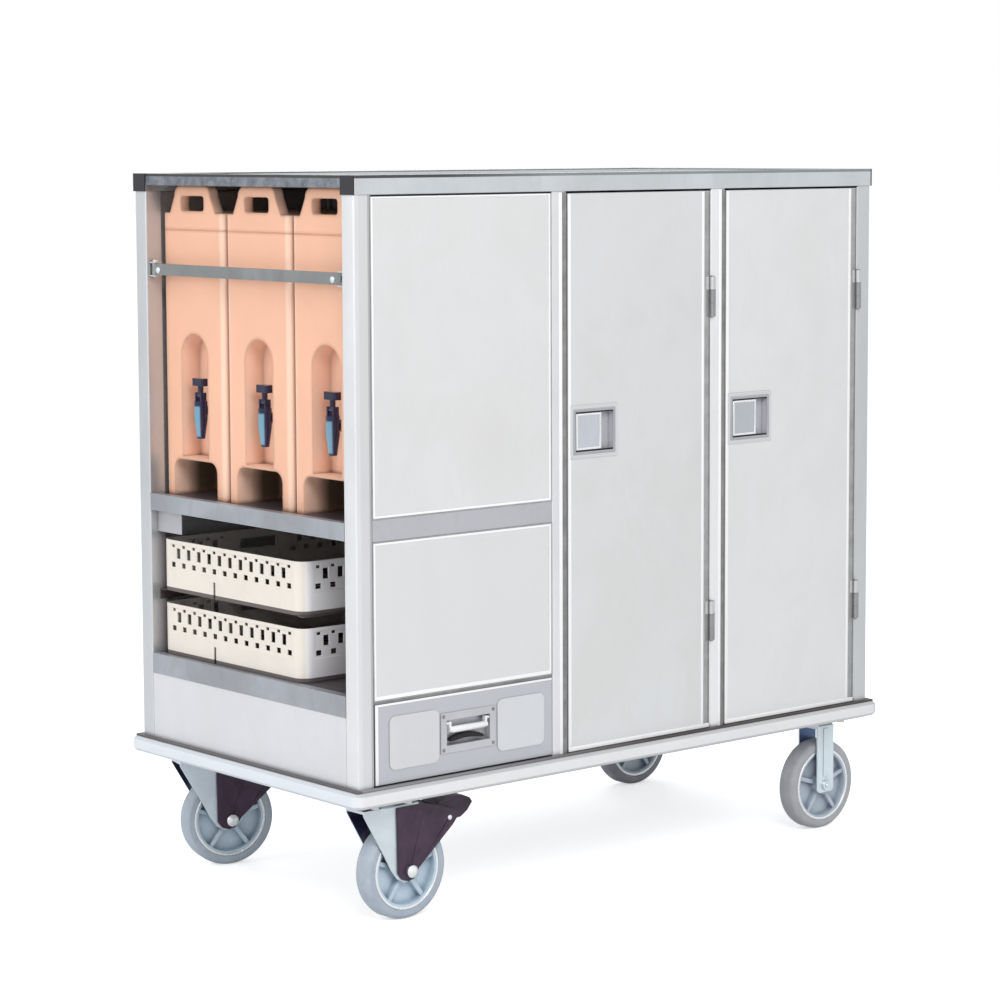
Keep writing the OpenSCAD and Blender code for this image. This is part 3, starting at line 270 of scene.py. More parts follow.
def sheet_metal(name, base, rough=0.42, metal=0.75, mottle=0.05, corner=None, extra=None):
    """Mill-finish sheet: fine drawn grain, cloudy mottling, faint smudges, painted shade in the corners.
    """
    tree, shader = new_material(name, base, rough, metal)
    cloud = noise(tree, coords(tree), 4.5, 6, 0.6, 0.8)
    smear = noise(tree, coords(tree, SMEAR_STRETCH), 9.0, 5, 0.65, 1.6)
    fine = noise(tree, coords(tree, DRAWN_GRAIN), 900, 2, 0.5)
    pale = tuple(c * tint for c, tint in zip(base, COOL))
    color = ramp(tree, cloud, [(0.35, shade(base, 1 - mottle)), (0.62, shade(pale, 1 + mottle))])
    color = mix(tree, remap(tree, smear, 0.56, 0.72, 0.0, 0.55), color, shade(base, 1 - 1.6 * mottle))
    color = mix(tree, remap(tree, fine, 0.3, 0.7, 0.0, 0.10), color, shade(base, 0.8))
    if extra:
        color = extra(tree, color)
    # Painted shade in the corners, where corner gives its reach
    if corner:
        color = corner_shade(tree, color, corner, shade(base, 0.30))
    tree.links.new(color, shader.inputs["Base Color"])
    sheen = remap(tree, smear, 0.3, 0.75, rough - 0.06, rough + 0.10)
    tree.links.new(sheen, shader.inputs["Roughness"])
    bump(tree, shader, fine, 0.06, 0.0004, 0)


def plastic(name, base, rough=0.5, spread=0.05, scale=14, grain=1400, grain_strength=0.10, coat=0.0,
            dirt=0.0, corner=None, corner_color=None, corner_range=(0.15, 0.85), extra=None, late=None,
            soft=0.0):
    """Moulded plastic, rubber or paint: faint colour drift, fine texture, a little soiling, painted shade
    in the corners.
    """
    tree, shader = new_material(name, base, rough, 0.0, coat)
    obj = coords(tree)
    big = noise(tree, obj, scale, 5, 0.6, 0.4)
    fine = noise(tree, obj, grain, 2, 0.5)
    color = ramp(tree, big, [(0.33, shade(base, 1 - spread)), (0.66, shade(base, 1 + spread))])
    if dirt:
        spots = noise(tree, obj, scale * 4, 8, 0.75, 0.5)
        color = mix(tree, remap(tree, spots, 0.58, 0.78, 0.0, dirt), color, shade(base, 0.55))
    if extra:
        color = extra(tree, color)
    # Painted shade in the corners, where corner gives its reach
    if corner:
        color = corner_shade(tree, color, corner, corner_color or shade(base, 0.3), 0.9, *corner_range)
    if late:
        color = late(tree, color)
    tree.links.new(color, shader.inputs["Base Color"])
    sheen = remap(tree, big, 0.3, 0.7, rough - 0.05, rough + 0.07)
    tree.links.new(sheen, shader.inputs["Roughness"])
    bump(tree, shader, fine, grain_strength, 0.0003, soft)


def rail_marks(tree, color):
    """The end rail is darker than the long ones, in patches, and every rail has painted shade along its
    rolled top edge, deepest near the open end.
    """
    end = both(tree, before(tree, "X", 0.4, POST_W + 2), past(tree, "Y", POST_W - 4, POST_W + 3))
    patches = noise(tree, coords(tree), 38, 5, 0.7, 0.6)
    dark_patches = ramp(tree, patches, [(0.30, (0.12, 0.14, 0.16)), (0.62, (0.28, 0.30, 0.34))])
    color = mix(tree, end, color, dark_patches)
    # Painted shade along the top edge of every rail
    edge_lo, edge_hi = RAIL_TOP - 6.5, RAIL_TOP - 5.5
    color = mix(tree, past(tree, "Z", edge_lo, edge_hi, 0.75), color, (0.16, 0.20, 0.20))
    # Deeper painted shade on the top edge near the open end
    painted_shading = both(tree, past(tree, "Z", edge_lo, edge_hi, 0.9), before(tree, "X", 230, 530))
    return mix(tree, painted_shading, color, (0.060, 0.055, 0.055))


def post_marks(tree, color):
    """Painted shade on the posts at the far corners, deeper on the inner face of the back posts, a painted
    highlight on the post between the doors, bands of painted shade on the near one.
    """
    right_post = BODY_L - POST_W
    color = mix(tree, past(tree, "X", right_post - 10, right_post, 0.42), color, (0.40, 0.44, 0.45))
    mid_post = DOORS[1][1].x + DOOR_GAP
    bright = between(tree, "X", mid_post - 9, mid_post + POST_W + 6, amount=0.7)
    color = mix(tree, bright, color, (0.97, 0.97, 0.98))
    near = before(tree, "Y", 11, 21)
    color = mix(tree, both(tree, between(tree, "X", 13, 34, 3), near), color, (0.76, 0.77, 0.78))
    color = mix(tree, both(tree, between(tree, "X", 34, 41, 2), near), color, (0.52, 0.53, 0.54))
    back_post = BODY_D - POST_W
    color = mix(tree, past(tree, "Y", back_post - 141, back_post - 1, 0.40), color, (0.38, 0.42, 0.46))
    inner = between(tree, "Y", back_post - 6, back_post + 0.2, 0.6, 0.30)
    return mix(tree, inner, color, (0.30, 0.26, 0.24))


def side_marks(tree, color):
    """The lower panel is a touch darker than the upper one."""
    return mix(tree, before(tree, "Z", MID_LO.z + 6, MID_LO.z + 16), color, (0.785, 0.785, 0.785))


def drawer_marks(tree, color):
    """The face between the raised pads is darker than the pads."""
    return mix(tree, past(tree, "Y", -1.2, -0.2), color, (0.565, 0.58, 0.62))


def back_marks(tree, color):
    """Painted shade on the inner sides of the back panels and of the end panel."""
    inner = both(tree, before(tree, "Y", BODY_D - 15, BODY_D - 9, 0.76),
                 before(tree, "X", BODY_L - 3, BODY_L - 2.4))
    return mix(tree, inner, color, (0.20, 0.155, 0.14))


def partition_marks(tree, color):
    """The partitions are lighter on the sides that face the door bays; the dark brown of the rest is
    painted shade.
    """
    bay_wall = mm_box("partitions")[0].x
    return mix(tree, past(tree, "X", bay_wall + 0.5, bay_wall + 1.5), color, (0.52, 0.525, 0.53))


def shelf_marks(tree, color):
    """Painted shade, dark and reddish, on the sheet behind the shelf's rail."""
    sheet = past(tree, "X", SHELF_RAIL_D + 0.5, SHELF_RAIL_D + 2, 0.88)
    return mix(tree, sheet, color, (0.075, 0.045, 0.05))


def guide_marks(tree, color):
    """The gusset at the opening is lighter than the angles and straps behind it, whose dark colour is
    painted shade.
    """
    back = mm_box("rack_guides")[0].x + SHEET_T
    return mix(tree, before(tree, "X", back + 0.4, back + 1), color, (0.50, 0.50, 0.53))


def cup_marks(tree, color):
    """Paler flange round the darker cup."""
    return mix(tree, before(tree, "Y", -1.4, -0.6), color, (0.74, 0.74, 0.76))


def paddle_marks(tree, color):
    """Painted shade on the second door's paddle. The mask changes between the two."""
    return mix(tree, past(tree, "X", 880, 930, 0.8), color, (0.54, 0.565, 0.60))


def hinge_marks(tree, color):
    """Painted highlight on the upper knuckles."""
    knuckle_h = 27
    for top in (HINGE_LO.z + HINGE_H, HINGE_HI.z):
        # Painted highlight on the upper knuckle
        painted_shading = between(tree, "Z", top - knuckle_h, top, amount=0.8)
        color = mix(tree, painted_shading, color, (0.74, 0.74, 0.75))
    return color


def fork_marks(x, y, degrees, inner):
    """Painted shade, dark blue, on the inner faces of one fork."""
    def marks(tree, color):
        return mix(tree, inside_fork(tree, x, y, degrees), color, inner)
    return marks


def bumper_marks(tree, color):
    """Painted shade on the upper and lower chamfers and on the far short end; a bluish tint on the near
    short end.
    """
    top, foot, left, right = BUMPER_HI.z, BUMPER_LO.z, BUMPER_LO.x, BUMPER_HI.x
    color = mix(tree, past(tree, "Z", top - 7, top - 4.8, 0.75), color, (0.47, 0.47, 0.485))
    color = mix(tree, before(tree, "Z", foot + 6, foot + 7.5, 0.55), color, (0.55, 0.56, 0.57))
    color = mix(tree, before(tree, "X", left + 4, left + 10, 0.40), color, (0.695, 0.79, 0.90))
    return mix(tree, past(tree, "X", right - 18, right - 8, 0.8), color, (0.40, 0.48, 0.46))


def container_marks(tree, color):
    """Painted highlights on the rounded front edges, painted light on every face behind the front,
    recesses included, painted shade deep in the foot cut-out.
    """
    front, half = TANK_LO.x, CONTAINER_W / 2
    off = maths(tree, "ABSOLUTE", across(tree))
    edge = both(tree, remap(tree, off, (half - 17) * MM, (half - 10) * MM, 0.0, 0.55),
                before(tree, "X", front + 7, front + 13))
    color = mix(tree, edge, color, (0.97, 0.76, 0.60))
    color = mix(tree, past(tree, "X", front + 1.5, front + 7, 0.8), color, (0.95, 0.66, 0.52))
    foot_shade = both(tree, past(tree, "X", front + 32, front + 65, 0.9),
                before(tree, "Z", TANK_LO.z + 86, TANK_LO.z + 96))
    return mix(tree, foot_shade, color, (0.050, 0.035, 0.018))


def container_recess(tree, color):
    """Painted light in the open tap recess, laid over the painted corner shade."""
    front, half = TANK_LO.x, RECESS_W / 2
    off = maths(tree, "ABSOLUTE", across(tree))
    recess = both(tree, remap(tree, off, (half + 0.4) * MM, (half + 1.2) * MM, 0.75, 0.0),
                  between(tree, "X", front + 3, front + 47, 3))
    recess = both(tree, recess, past(tree, "Z", TANK_LO.z + 85, TANK_LO.z + 93))
    return mix(tree, recess, color, (0.91, 0.58, 0.43))


def tap_marks(tree, color):
    """Painted highlight on the lower half of each tap, up to a slanted line."""
    run, rise = 100, 0.118
    slant = place_mask(tree, "X", TAP_X - run, TAP_X + run, -rise, rise)
    off = maths(tree, "SUBTRACT", across(tree), slant)
    lower = between(tree, "Z", TAP_FOOT + 7, TAP_FOOT + 67, 4)
    # Painted highlight
    side = both(tree, remap(tree, off, -0.001, 0.003), lower)
    return mix(tree, side, color, (0.17, 0.36, 0.50))


def rack_marks(tree, color):
    """Painted light makes the side of a rack that faces the doors greyer and paler, and a painted shadow
    runs along each rack's foot.
    """
    color = mix(tree, before(tree, "Y", RACK_SIDE + 3, RACK_SIDE + 6, 0.85), color, (0.97, 0.96, 0.985))
    for z in RACK_FLOORS:
        color = mix(tree, between(tree, "Z", z - 2, z + 8, 1, 0.9), color, (0.05, 0.03, 0.03))
    return color


def reveal_marks(tree, color):
    """The painted shadow of the strip is paler near the open end."""
    pale = both(tree, before(tree, "X", 280, 780), place_mask(tree, "X", -0.1, 1, 0.25, 1.0))
    return mix(tree, pale, color, (0.27, 0.265, 0.28))


# Frame, panels and rails
sheet_metal("frame_steel", (0.50, 0.52, 0.55), 0.45, 0.8, corner=0.03)
sheet_metal("post_steel", (0.84, 0.85, 0.86), 0.36, 0.6, 0.03, 0.012, post_marks)
sheet_metal("panel_steel", (0.83, 0.83, 0.825), 0.46, 0.45, 0.022, 0.010)
sheet_metal("side_steel", (0.815, 0.81, 0.805), 0.46, 0.45, 0.022, 0.010, side_marks)
sheet_metal("door_steel", (0.775, 0.78, 0.775), 0.46, 0.45, 0.025, 0.010)
sheet_metal("apron_steel", (0.755, 0.755, 0.785), 0.46, 0.45, 0.025, 0.012)
sheet_metal("back_steel", (0.82, 0.815, 0.81), 0.46, 0.45, 0.022, 0.012, back_marks)
sheet_metal("roof_steel", (0.44, 0.45, 0.46), 0.80, 0.0, 0.08)
# Dark brown painted shade of the open bay's interior, on the partitions
sheet_metal("shaded_inner_steel", (0.16, 0.115, 0.11), 0.5, 0.5, 0.12, extra=partition_marks)
# Dark brown painted shade on the rack guides deep in the open bay
sheet_metal("shaded_guide_steel", (0.13, 0.10, 0.10), 0.5, 0.5, 0.08, extra=guide_marks)
sheet_metal("drawer_steel", (0.735, 0.745, 0.765), 0.44, 0.45, 0.03, 0.012, drawer_marks)
sheet_metal("rail_steel", (0.66, 0.69, 0.71), 0.40, 0.6, 0.07, 0.012, rail_marks)
sheet_metal("shelf_steel", (0.41, 0.43, 0.465), 0.42, 0.6, 0.14, 0.02, shelf_marks)
sheet_metal("strip_steel", (0.53, 0.535, 0.56), 0.45, 0.5, 0.04, 0.008)
# Near-white painted highlights along edges of the doors, fixed panels, drawer front and posts
sheet_metal("highlight_steel", (0.99, 0.99, 0.99), 0.38, 0.0, 0.01)

# Fittings
sheet_metal("bar_steel", (0.28, 0.29, 0.29), 0.36, 0.6, 0.18)
sheet_metal("hardware_steel", (0.72, 0.73, 0.75), 0.32, 0.8, 0.05, 0.006)
sheet_metal("hinge_steel", (0.36, 0.36, 0.365), 0.38, 0.6, 0.10, 0.004, hinge_marks)
sheet_metal("latch_metal", (0.60, 0.605, 0.63), 0.38, 0.6, 0.05, 0.012)
sheet_metal("cup_metal", (0.66, 0.66, 0.69), 0.38, 0.5, 0.05, 0.006, cup_marks)
sheet_metal("cup_rim", (0.47, 0.47, 0.50), 0.38, 0.5, 0.08)
sheet_metal("paddle_metal", (0.655, 0.685, 0.725), 0.34, 0.6, 0.06, extra=paddle_marks)
sheet_metal("bright_zinc", (0.93, 0.94, 0.95), 0.26, 0.5, 0.03)
plastic("bail_metal", (0.92, 0.92, 0.93), 0.3, 0.03, 40, coat=0.3)

# Casters
NAVY = (0.030, 0.028, 0.085)
BLUE = (0.11, 0.18, 0.36)
ZINC = (0.76, 0.83, 0.88)
sheet_metal("fork_zinc", ZINC, 0.32, 0.6, 0.10, 0.02)
sheet_metal("fork_zinc_front", ZINC, 0.32, 0.6, 0.10, 0.02, fork_marks(SWIVEL_X, FRONT_Y, 0, NAVY))
sheet_metal("fork_zinc_back", ZINC, 0.32, 0.6, 0.10, 0.02, fork_marks(SWIVEL_X, BACK_Y, BACK_TURN, NAVY))
sheet_metal("rigid_zinc", (0.74, 0.82, 0.86), 0.32, 0.6, 0.10, 0.02, fork_marks(RIGID_X, FRONT_Y, 0, BLUE))
plastic("brake_metal", (0.045, 0.020, 0.048), 0.40, 0.35, 30, 700, 0.15, dirt=0.4)
# Painted shade, dark blue, in the corners of the wheel cores
plastic("wheel_plastic", (0.58, 0.70, 0.80), 0.42, 0.07, 25, dirt=0.18,
        corner=0.02, corner_color=(0.12, 0.17, 0.24))
plastic("wheel_plastic_grey", (0.49, 0.56, 0.63), 0.42, 0.07, 25, dirt=0.18,
        corner=0.02, corner_color=(0.10, 0.12, 0.18))
plastic("tyre_rubber", (0.43, 0.49, 0.56), 0.62, 0.08, 30, 500, 0.25, dirt=0.30)
plastic("tyre_rubber_grey", (0.42, 0.43, 0.46), 0.62, 0.08, 30, 500, 0.25, dirt=0.30)
# Darker rubber for the back-right tyre: painted shade under the cart, with a little more dirt
plastic("tyre_rubber_shaded", (0.27, 0.27, 0.30), 0.62, 0.12, 30, 500, 0.25, dirt=0.45)

# Plastics, rubber and shadowed gaps
plastic("bumper_vinyl", (0.82, 0.825, 0.835), 0.45, 0.03, 6, dirt=0.10, corner=0.008, extra=bumper_marks)
plastic("plug_plastic", (0.015, 0.015, 0.022), 0.5, 0.2)
# Painted shade, reddish brown, in the containers' corners and recesses
plastic("container_plastic", (0.93, 0.53, 0.365), 0.48, 0.03, 7, 900, 0.12,
        corner=0.016, corner_color=(0.50, 0.24, 0.16), extra=container_marks,
        late=container_recess, soft=0.014)
plastic("lid_seam", (0.74, 0.36, 0.25), 0.6, 0.1)
plastic("tap_plastic", (0.008, 0.012, 0.060), 0.20, 0.3, 30, 1400, 0.03, coat=0.5, extra=tap_marks)
plastic("lever_plastic", (0.006, 0.007, 0.040), 0.16, 0.3, 30, 1400, 0.03, coat=0.6)
# Painted shade, dark maroon, in the corners and inside of the racks
plastic("rack_plastic", (0.83, 0.775, 0.70), 0.5, 0.03, 12, dirt=0.06,
        corner=0.085, corner_color=(0.085, 0.016, 0.024), corner_range=(0.22, 0.62), late=rack_marks)
# Dark grey for hinge pins and pull screws, and painted shade in the door channels and the gap over the
# drawer
plastic("seal_and_shade", (0.245, 0.24, 0.235), 0.6, 0.2, 30, dirt=0.3)
# Pale grey for the panel seams, and painted shade in the hinge channels
plastic("pale_seal_and_shade", (0.37, 0.37, 0.375), 0.6, 0.15, 30, dirt=0.3)
# Painted shadow of the gap between body and bumper
plastic("reveal_shadow", (0.070, 0.056, 0.055), 0.6, 0.35, 9, dirt=0.4, extra=reveal_marks)
# Near-black painted shadow in gaps, in the latch cups and under the drawer's bail
plastic("painted_shadow", (0.018, 0.015, 0.015), 0.85, 0.3)

# ---------------------------------------------------------------- the construction's own pieces

# Nodes that look different from the rest of their slot in the record
OWN = {
    "back_and_end_panels": "back_steel",
    "roof_panel": "roof_steel",
    "partitions": "shaded_inner_steel",
    "side_panels": "side_steel",
    "end_apron": "apron_steel",
    "door_1_panel": "door_steel",
    "drawer_front": "drawer_steel",
    "container_shelf": "shelf_steel",
    "rack_shelf": "shelf_steel",
    "rack_guides": "shaded_guide_steel",
    "retaining_bar": "bar_steel",
    "frame_hardware": "hinge_steel",
    "door_1_hinge_leaves": "hinge_steel",
    "door_2_hinge_leaves": "hinge_steel",
    "door_1_latch_cup": "cup_metal",
    "door_2_latch_cup": "cup_metal",
    "door_1_paddle": "paddle_metal",
    "door_2_paddle": "paddle_metal",
    "tap_lever_back": "lever_plastic",
    "tap_lever_middle": "lever_plastic",
    "tap_lever_front": "lever_plastic",
    "fork_front": "fork_zinc_front",
    "fork_back": "fork_zinc_back",
    "rigid_forks": "rigid_zinc",
    "wheel_core_front_right": "wheel_plastic_grey",
    "wheel_core_back_right": "wheel_plastic_grey",
    "tyre_front_right": "tyre_rubber_grey",
    # Painted shade: the back-right tyre takes the darker rubber
    "tyre_back_right": "tyre_rubber_shaded",
}
SLOTS = {part["node"]: part["material_slot"] for part in frame["record"]["subparts"]}

# Bevel widths in mm, by node or by the first words of its name
BEVEL = {
    "base_frame": 1.0, "posts": 0.0, "bumper": 2.0, "beverage_containers": 5.0, "container_lids": 5.0,
    "tap_bodies": 0.8, "upper_rack": 0.7, "lower_rack": 0.7, "tyre": 1.0, "wheel_core": 1.2, "fork": 1.0,
    "door_1_panel": 2.2, "door_2_panel": 2.2, "side_panels": 2.2, "end_apron": 2.0, "drawer_front": 1.6,
    "back_and_end_panels": 2.0, "top_rails": 1.6, "retaining_bar": 1.2, "tap_lever": 1.5,
    "roof_panel": 0.8,
}
SMALL_BEVEL = 0.5
SHARP_ANGLE = math.radians(32)


def bevel_of(name):
    for start, width in BEVEL.items():
        if name == start or name.startswith(start + "_"):
            return width
    return SMALL_BEVEL


def dress(obj, width, segments, clamp):
    """Smooth shading with bevelled edges, or with split edges where the width is 0."""
    with bpy.context.temp_override(object=obj, active_object=obj, selected_objects=[obj]):
        if obj.data.has_custom_normals:
            bpy.ops.mesh.customdata_custom_splitnormals_clear()
    for polygon in obj.data.polygons:
        polygon.use_smooth = True
    weld = obj.modifiers.new("weld", "WELD")
    weld.merge_threshold = 1e-5
    if width:
        bevel = obj.modifiers.new("bevel", "BEVEL")
        bevel.width = width * MM
        bevel.segments = segments
        bevel.limit_method = "ANGLE"
        bevel.angle_limit = SHARP_ANGLE
        bevel.use_clamp_overlap = clamp
        bevel.harden_normals = False
        normals = obj.modifiers.new("normals", "WEIGHTED_NORMAL")
        normals.keep_sharp = True
        normals.weight = 60
    else:
        split = obj.modifiers.new("split", "EDGE_SPLIT")
        split.split_angle = SHARP_ANGLE


# The bevel of a sheet panel isn't clamped
for name, obj in NODES.items():
    obj.data.materials.clear()
    obj.data.materials.append(MATERIALS[OWN.get(name, SLOTS[name])])
    moulded = name in ("beverage_containers", "container_lids")
    panel = name.endswith("panel")
    dress(obj, bevel_of(name), segments=3 if moulded else 2, clamp=not panel)

# ---------------------------------------------------------------- shapes of the added pieces

SUNK = 0.5
FINE_EDGE = 0.3


def add_piece(name, bm, material, body, smooth=True, turn=None):
    if turn:
        bm.transform(turn)
    mesh = bpy.data.meshes.new(name)
    bmesh.ops.recalc_face_normals(bm, faces=bm.faces[:])
    bm.to_mesh(mesh)
    bm.free()
    obj = bpy.data.objects.new(name, mesh)
    bpy.context.scene.collection.objects.link(obj)
    mesh.materials.append(MATERIALS[material])
    for polygon in mesh.polygons:
        polygon.use_smooth = smooth
    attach(obj, body)


def strip(name, a, b, material, body, edge=0.4):
    """Bar with rounded edges between two corners in body coordinates."""
    lo, hi = at(*a), at(*b)
    bm = bmesh.new()
    bmesh.ops.create_cube(bm, size=1.0)
    for v in bm.verts:
        v.co = Vector([(lo[i] + hi[i]) / 2 + v.co[i] * (hi[i] - lo[i]) for i in range(3)])
    bmesh.ops.bevel(bm, geom=bm.edges[:], offset=edge * MM, segments=2, profile=0.5, affect="EDGES")
    add_piece(name, bm, material, body)


def face_strip(name, low, high, proud, material, body):
    """Strip on the door side between two corners (x, z), proud of the face and sunk into it."""
    strip(name, (low[0], -proud, low[1]), (high[0], SUNK, high[1]), material, body)


def join_rings(bm, a, b):
    """Faces from one ring of vertices to the next."""
    for i in range(len(a)):
        j = (i + 1) % len(a)
        bm.faces.new((a[i], a[j], b[j], b[i]))


def frame_ring(name, a, b, width, material, body, edge=0.4):
    """Mitred upright frame between two corners in body coordinates."""
    (x0, y0, z0), (x1, y1, z1) = a, b
    outer = [(x0, z0), (x1, z0), (x1, z1), (x0, z1)]
    inner = [(x0 + width, z0 + width), (x1 - width, z0 + width),
             (x1 - width, z1 - width), (x0 + width, z1 - width)]
    bm = bmesh.new()
    rings = []
    for points, y in ((outer, y0), (inner, y0), (inner, y1), (outer, y1)):
        rings.append([bm.verts.new(at(x, y, z)) for x, z in points])
    for i in range(4):
        join_rings(bm, rings[i], rings[(i + 1) % 4])
    bmesh.ops.bevel(bm, geom=bm.edges[:], offset=edge * MM, segments=1, profile=0.5, affect="EDGES")
    add_piece(name, bm, material, body)


def prism(name, low, high, material, body):
    """Straight-sided piece between two equal outlines in body coordinates."""
    bm = bmesh.new()
    low = [bm.verts.new(at(*point)) for point in low]
    high = [bm.verts.new(at(*point)) for point in high]
    bm.faces.new(low[::-1])
    bm.faces.new(high)
    join_rings(bm, low, high)
    add_piece(name, bm, material, body, smooth=False)


def lathe(name, profile, centre, direction, material, body, steps=40, turn=None):
    """Turned piece: profile of (radius, height) in mm along direction from centre."""
    ahead = Vector(direction).normalized()
    side = ahead.orthogonal().normalized()
    up = ahead.cross(side)
    bm = bmesh.new()
    rings = []
    for radius, height in profile:
        heart = centre + ahead * height * MM
        angles = [2 * math.pi * i / steps for i in range(steps)] if radius else [0]
        rings.append([bm.verts.new(heart + (side * math.cos(a) + up * math.sin(a)) * radius * MM)
                      for a in angles])
    for a, b in zip(rings, rings[1:]):
        if len(a) == len(b):
            join_rings(bm, a, b)
            continue
        for i in range(steps):
            j = (i + 1) % steps
            bm.faces.new((a[0], b[i], b[j]) if len(a) == 1 else (a[i], b[0], a[j]))
    add_piece(name, bm, material, body, turn=turn)


# ---------------------------------------------------------------- doors and posts

STRIP_FOOT = 3
STRIP_HEAD = POST_TOP - 2
CHANNEL_W = {1: 11, 2: 9}
BRIGHT_W = {1: 8.4, 2: 7.4}
BRIGHT_GAP = 0.6

# Painted shade of a channel in the post at each door's free edge, and a painted highlight beside it
for n, width in CHANNEL_W.items():
    right = DOORS[n][0].x - DOOR_GAP
    face_strip("post_channel_%d" % n, (right - width, STRIP_FOOT), (right - 0.1, STRIP_HEAD), 0.9,
               "seal_and_shade", "cart")
for n, width in BRIGHT_W.items():
    right = DOORS[n][0].x - DOOR_GAP - CHANNEL_W[n] - BRIGHT_GAP
    face_strip("post_edge_%d" % n, (right - width, STRIP_FOOT), (right, STRIP_HEAD), 0.8,
               "highlight_steel", "cart")

# Painted shade of a channel at each door's hinges, painted highlights on three of its edges, and a lip on
# the post beside it
for n, (lo, hi) in DOORS.items():
    door = "door_%d" % n
    foot, head = lo.z + 10, hi.z - 2
    left, right = lo.x + 0.5, hi.x - 0.4
    face_strip(door + "_hinge_channel_shade", (hi.x - 17, foot), (hi.x - 4.4, head), 0.9, "pale_seal_and_shade", door)
    face_strip(door + "_hinge_channel_edge_shade", (hi.x - 4.2, foot), (right, head), 1.0, "seal_and_shade", door)
    face_strip(door + "_highlight_low", (left, lo.z + 0.3), (right, foot - 0.4), 1.0, "highlight_steel", door)
    face_strip(door + "_hem_free", (left, foot), (lo.x + 8.6, head), 0.9, "highlight_steel", door)
    face_strip(door + "_highlight_hinged", (hi.x - 24, foot), (hi.x - 17.2, head), 0.7, "highlight_steel", door)
    strip("post_lip_%d" % n, (hi.x + 0.5, -0.5, STRIP_FOOT), (hi.x + 5, 0.6, STRIP_HEAD),
          "post_steel", "cart", FINE_EDGE)

# ---------------------------------------------------------------- fixed panels and drawer front

SEAM_W = 2.2
HIGHLIGHT_W = 4.6

# Seams and painted highlights round the fixed panels, which meet at the strip
for name, z0, z1 in (("upper", MID_HI.z, SIDE_HI.z), ("lower", SIDE_LO.z, MID_LO.z)):
    frame_ring("panel_seam_" + name, (SIDE_LO.x - 0.4, -0.1, z0 - 0.4), (SIDE_HI.x + 0.4, 1.6, z1 - 0.2),
               SEAM_W, "pale_seal_and_shade", "cart", FINE_EDGE)
    frame_ring("panel_highlight_" + name, (SIDE_LO.x + 2.2, 0.2, z0 + 2.2), (SIDE_HI.x - 2.2, 1.6, z1 - 2.8),
               HIGHLIGHT_W, "highlight_steel", "cart", FINE_EDGE)
strip("panel_highlight_low", (SIDE_LO.x + 7, 0.1, SIDE_LO.z + 2.8), (SIDE_HI.x - 7, 1.6, SIDE_LO.z + 10),
      "highlight_steel", "cart", FINE_EDGE)

# Painted shadow in the gap over the drawer, painted highlights on two edges of its front, painted shadow
# in the gap over the upper panel
lo, hi = mm_box("drawer_front")
strip("drawer_head_shadow", (lo.x - 1.4, 0.8, hi.z + 0.7), (hi.x + 1.4, 3.0, SIDE_LO.z - 0.5),
      "seal_and_shade", "cart", FINE_EDGE)
strip("drawer_highlight_top", (lo.x + 0.4, -0.8, hi.z - 4.6), (hi.x - 0.4, 0.3, hi.z - 0.3),
      "highlight_steel", "drawer", FINE_EDGE)
strip("drawer_highlight_side", (lo.x + 0.4, -0.8, lo.z + 0.4), (lo.x + 7.6, 0.3, hi.z - 4.7),
      "highlight_steel", "drawer", FINE_EDGE)
strip("head_shadow_strip", (SIDE_LO.x + 1, -0.2, SIDE_HI.z - 3.8), (SIDE_HI.x - 1, 1.4, SIDE_HI.z - 0.2),
      "painted_shadow", "cart", FINE_EDGE)

# ---------------------------------------------------------------- dark strip between body and bumper, a painted shadow

REVEAL_OUT = 12
REVEAL_GAP = 0.1
REVEAL_RUNS = (
    (-REVEAL_OUT, -REVEAL_OUT, BODY_L + REVEAL_OUT, -REVEAL_GAP),
    (-REVEAL_OUT, BODY_D + REVEAL_GAP, BODY_L + REVEAL_OUT, BODY_D + REVEAL_OUT),
    (-REVEAL_OUT, -REVEAL_GAP, -REVEAL_GAP, BODY_D + REVEAL_GAP),
    (BODY_L + REVEAL_GAP, -REVEAL_GAP, BODY_L + REVEAL_OUT, BODY_D + REVEAL_GAP),
)
for n, (x0, y0, x1, y1) in enumerate(REVEAL_RUNS):
    strip("reveal_strip_%d" % n, (x0, y0, -1.1), (x1, y1, 3.0), "reveal_shadow", "cart", 1.0)

# ---------------------------------------------------------------- latches

RIM_W = 4.5
LATCH_SHADOW_END = 12
LATCH_SHADOW_INSET = 11.6
LATCH_SHADOW_GAP = 0.6
CUP_EDGE_W = 6.0
CUP_EDGE_INSET = 8

# Raised rim on each paddle, its bright zinc a painted highlight; near-black painted shadow above and below
# it in the cup; pressed edge round the cup
for n in DOORS:
    door = "door_%d" % n
    paddle = door + "_paddle"
    cup_lo, cup_hi = mm_box(door + "_latch_cup")
    lo, hi = mm_box(paddle)
    frame_ring(paddle + "_rim", (hi.x - PADDLE_W, -1.3, lo.z), (hi.x, 0.2, hi.z), RIM_W,
               "bright_zinc", paddle, 0.5)
    left, right = cup_lo.x + LATCH_SHADOW_END, cup_hi.x - LATCH_SHADOW_END
    strip(door + "_latch_shadow_top", (left, 0.2, hi.z + LATCH_SHADOW_GAP), (right, 4.5, cup_hi.z - LATCH_SHADOW_INSET),
          "painted_shadow", door, 0.5)
    strip(door + "_latch_shadow_low", (left, 0.2, cup_lo.z + LATCH_SHADOW_INSET), (right, 4.5, lo.z - LATCH_SHADOW_GAP),
          "painted_shadow", door, 0.5)
    frame_ring(door + "_latch_edge", (cup_lo.x + CUP_EDGE_INSET, -2.4, cup_lo.z + CUP_EDGE_INSET),
               (cup_hi.x - CUP_EDGE_INSET, -1.4, cup_hi.z - CUP_EDGE_INSET), CUP_EDGE_W, "cup_rim", door)

# ---------------------------------------------------------------- seam under each container's lid

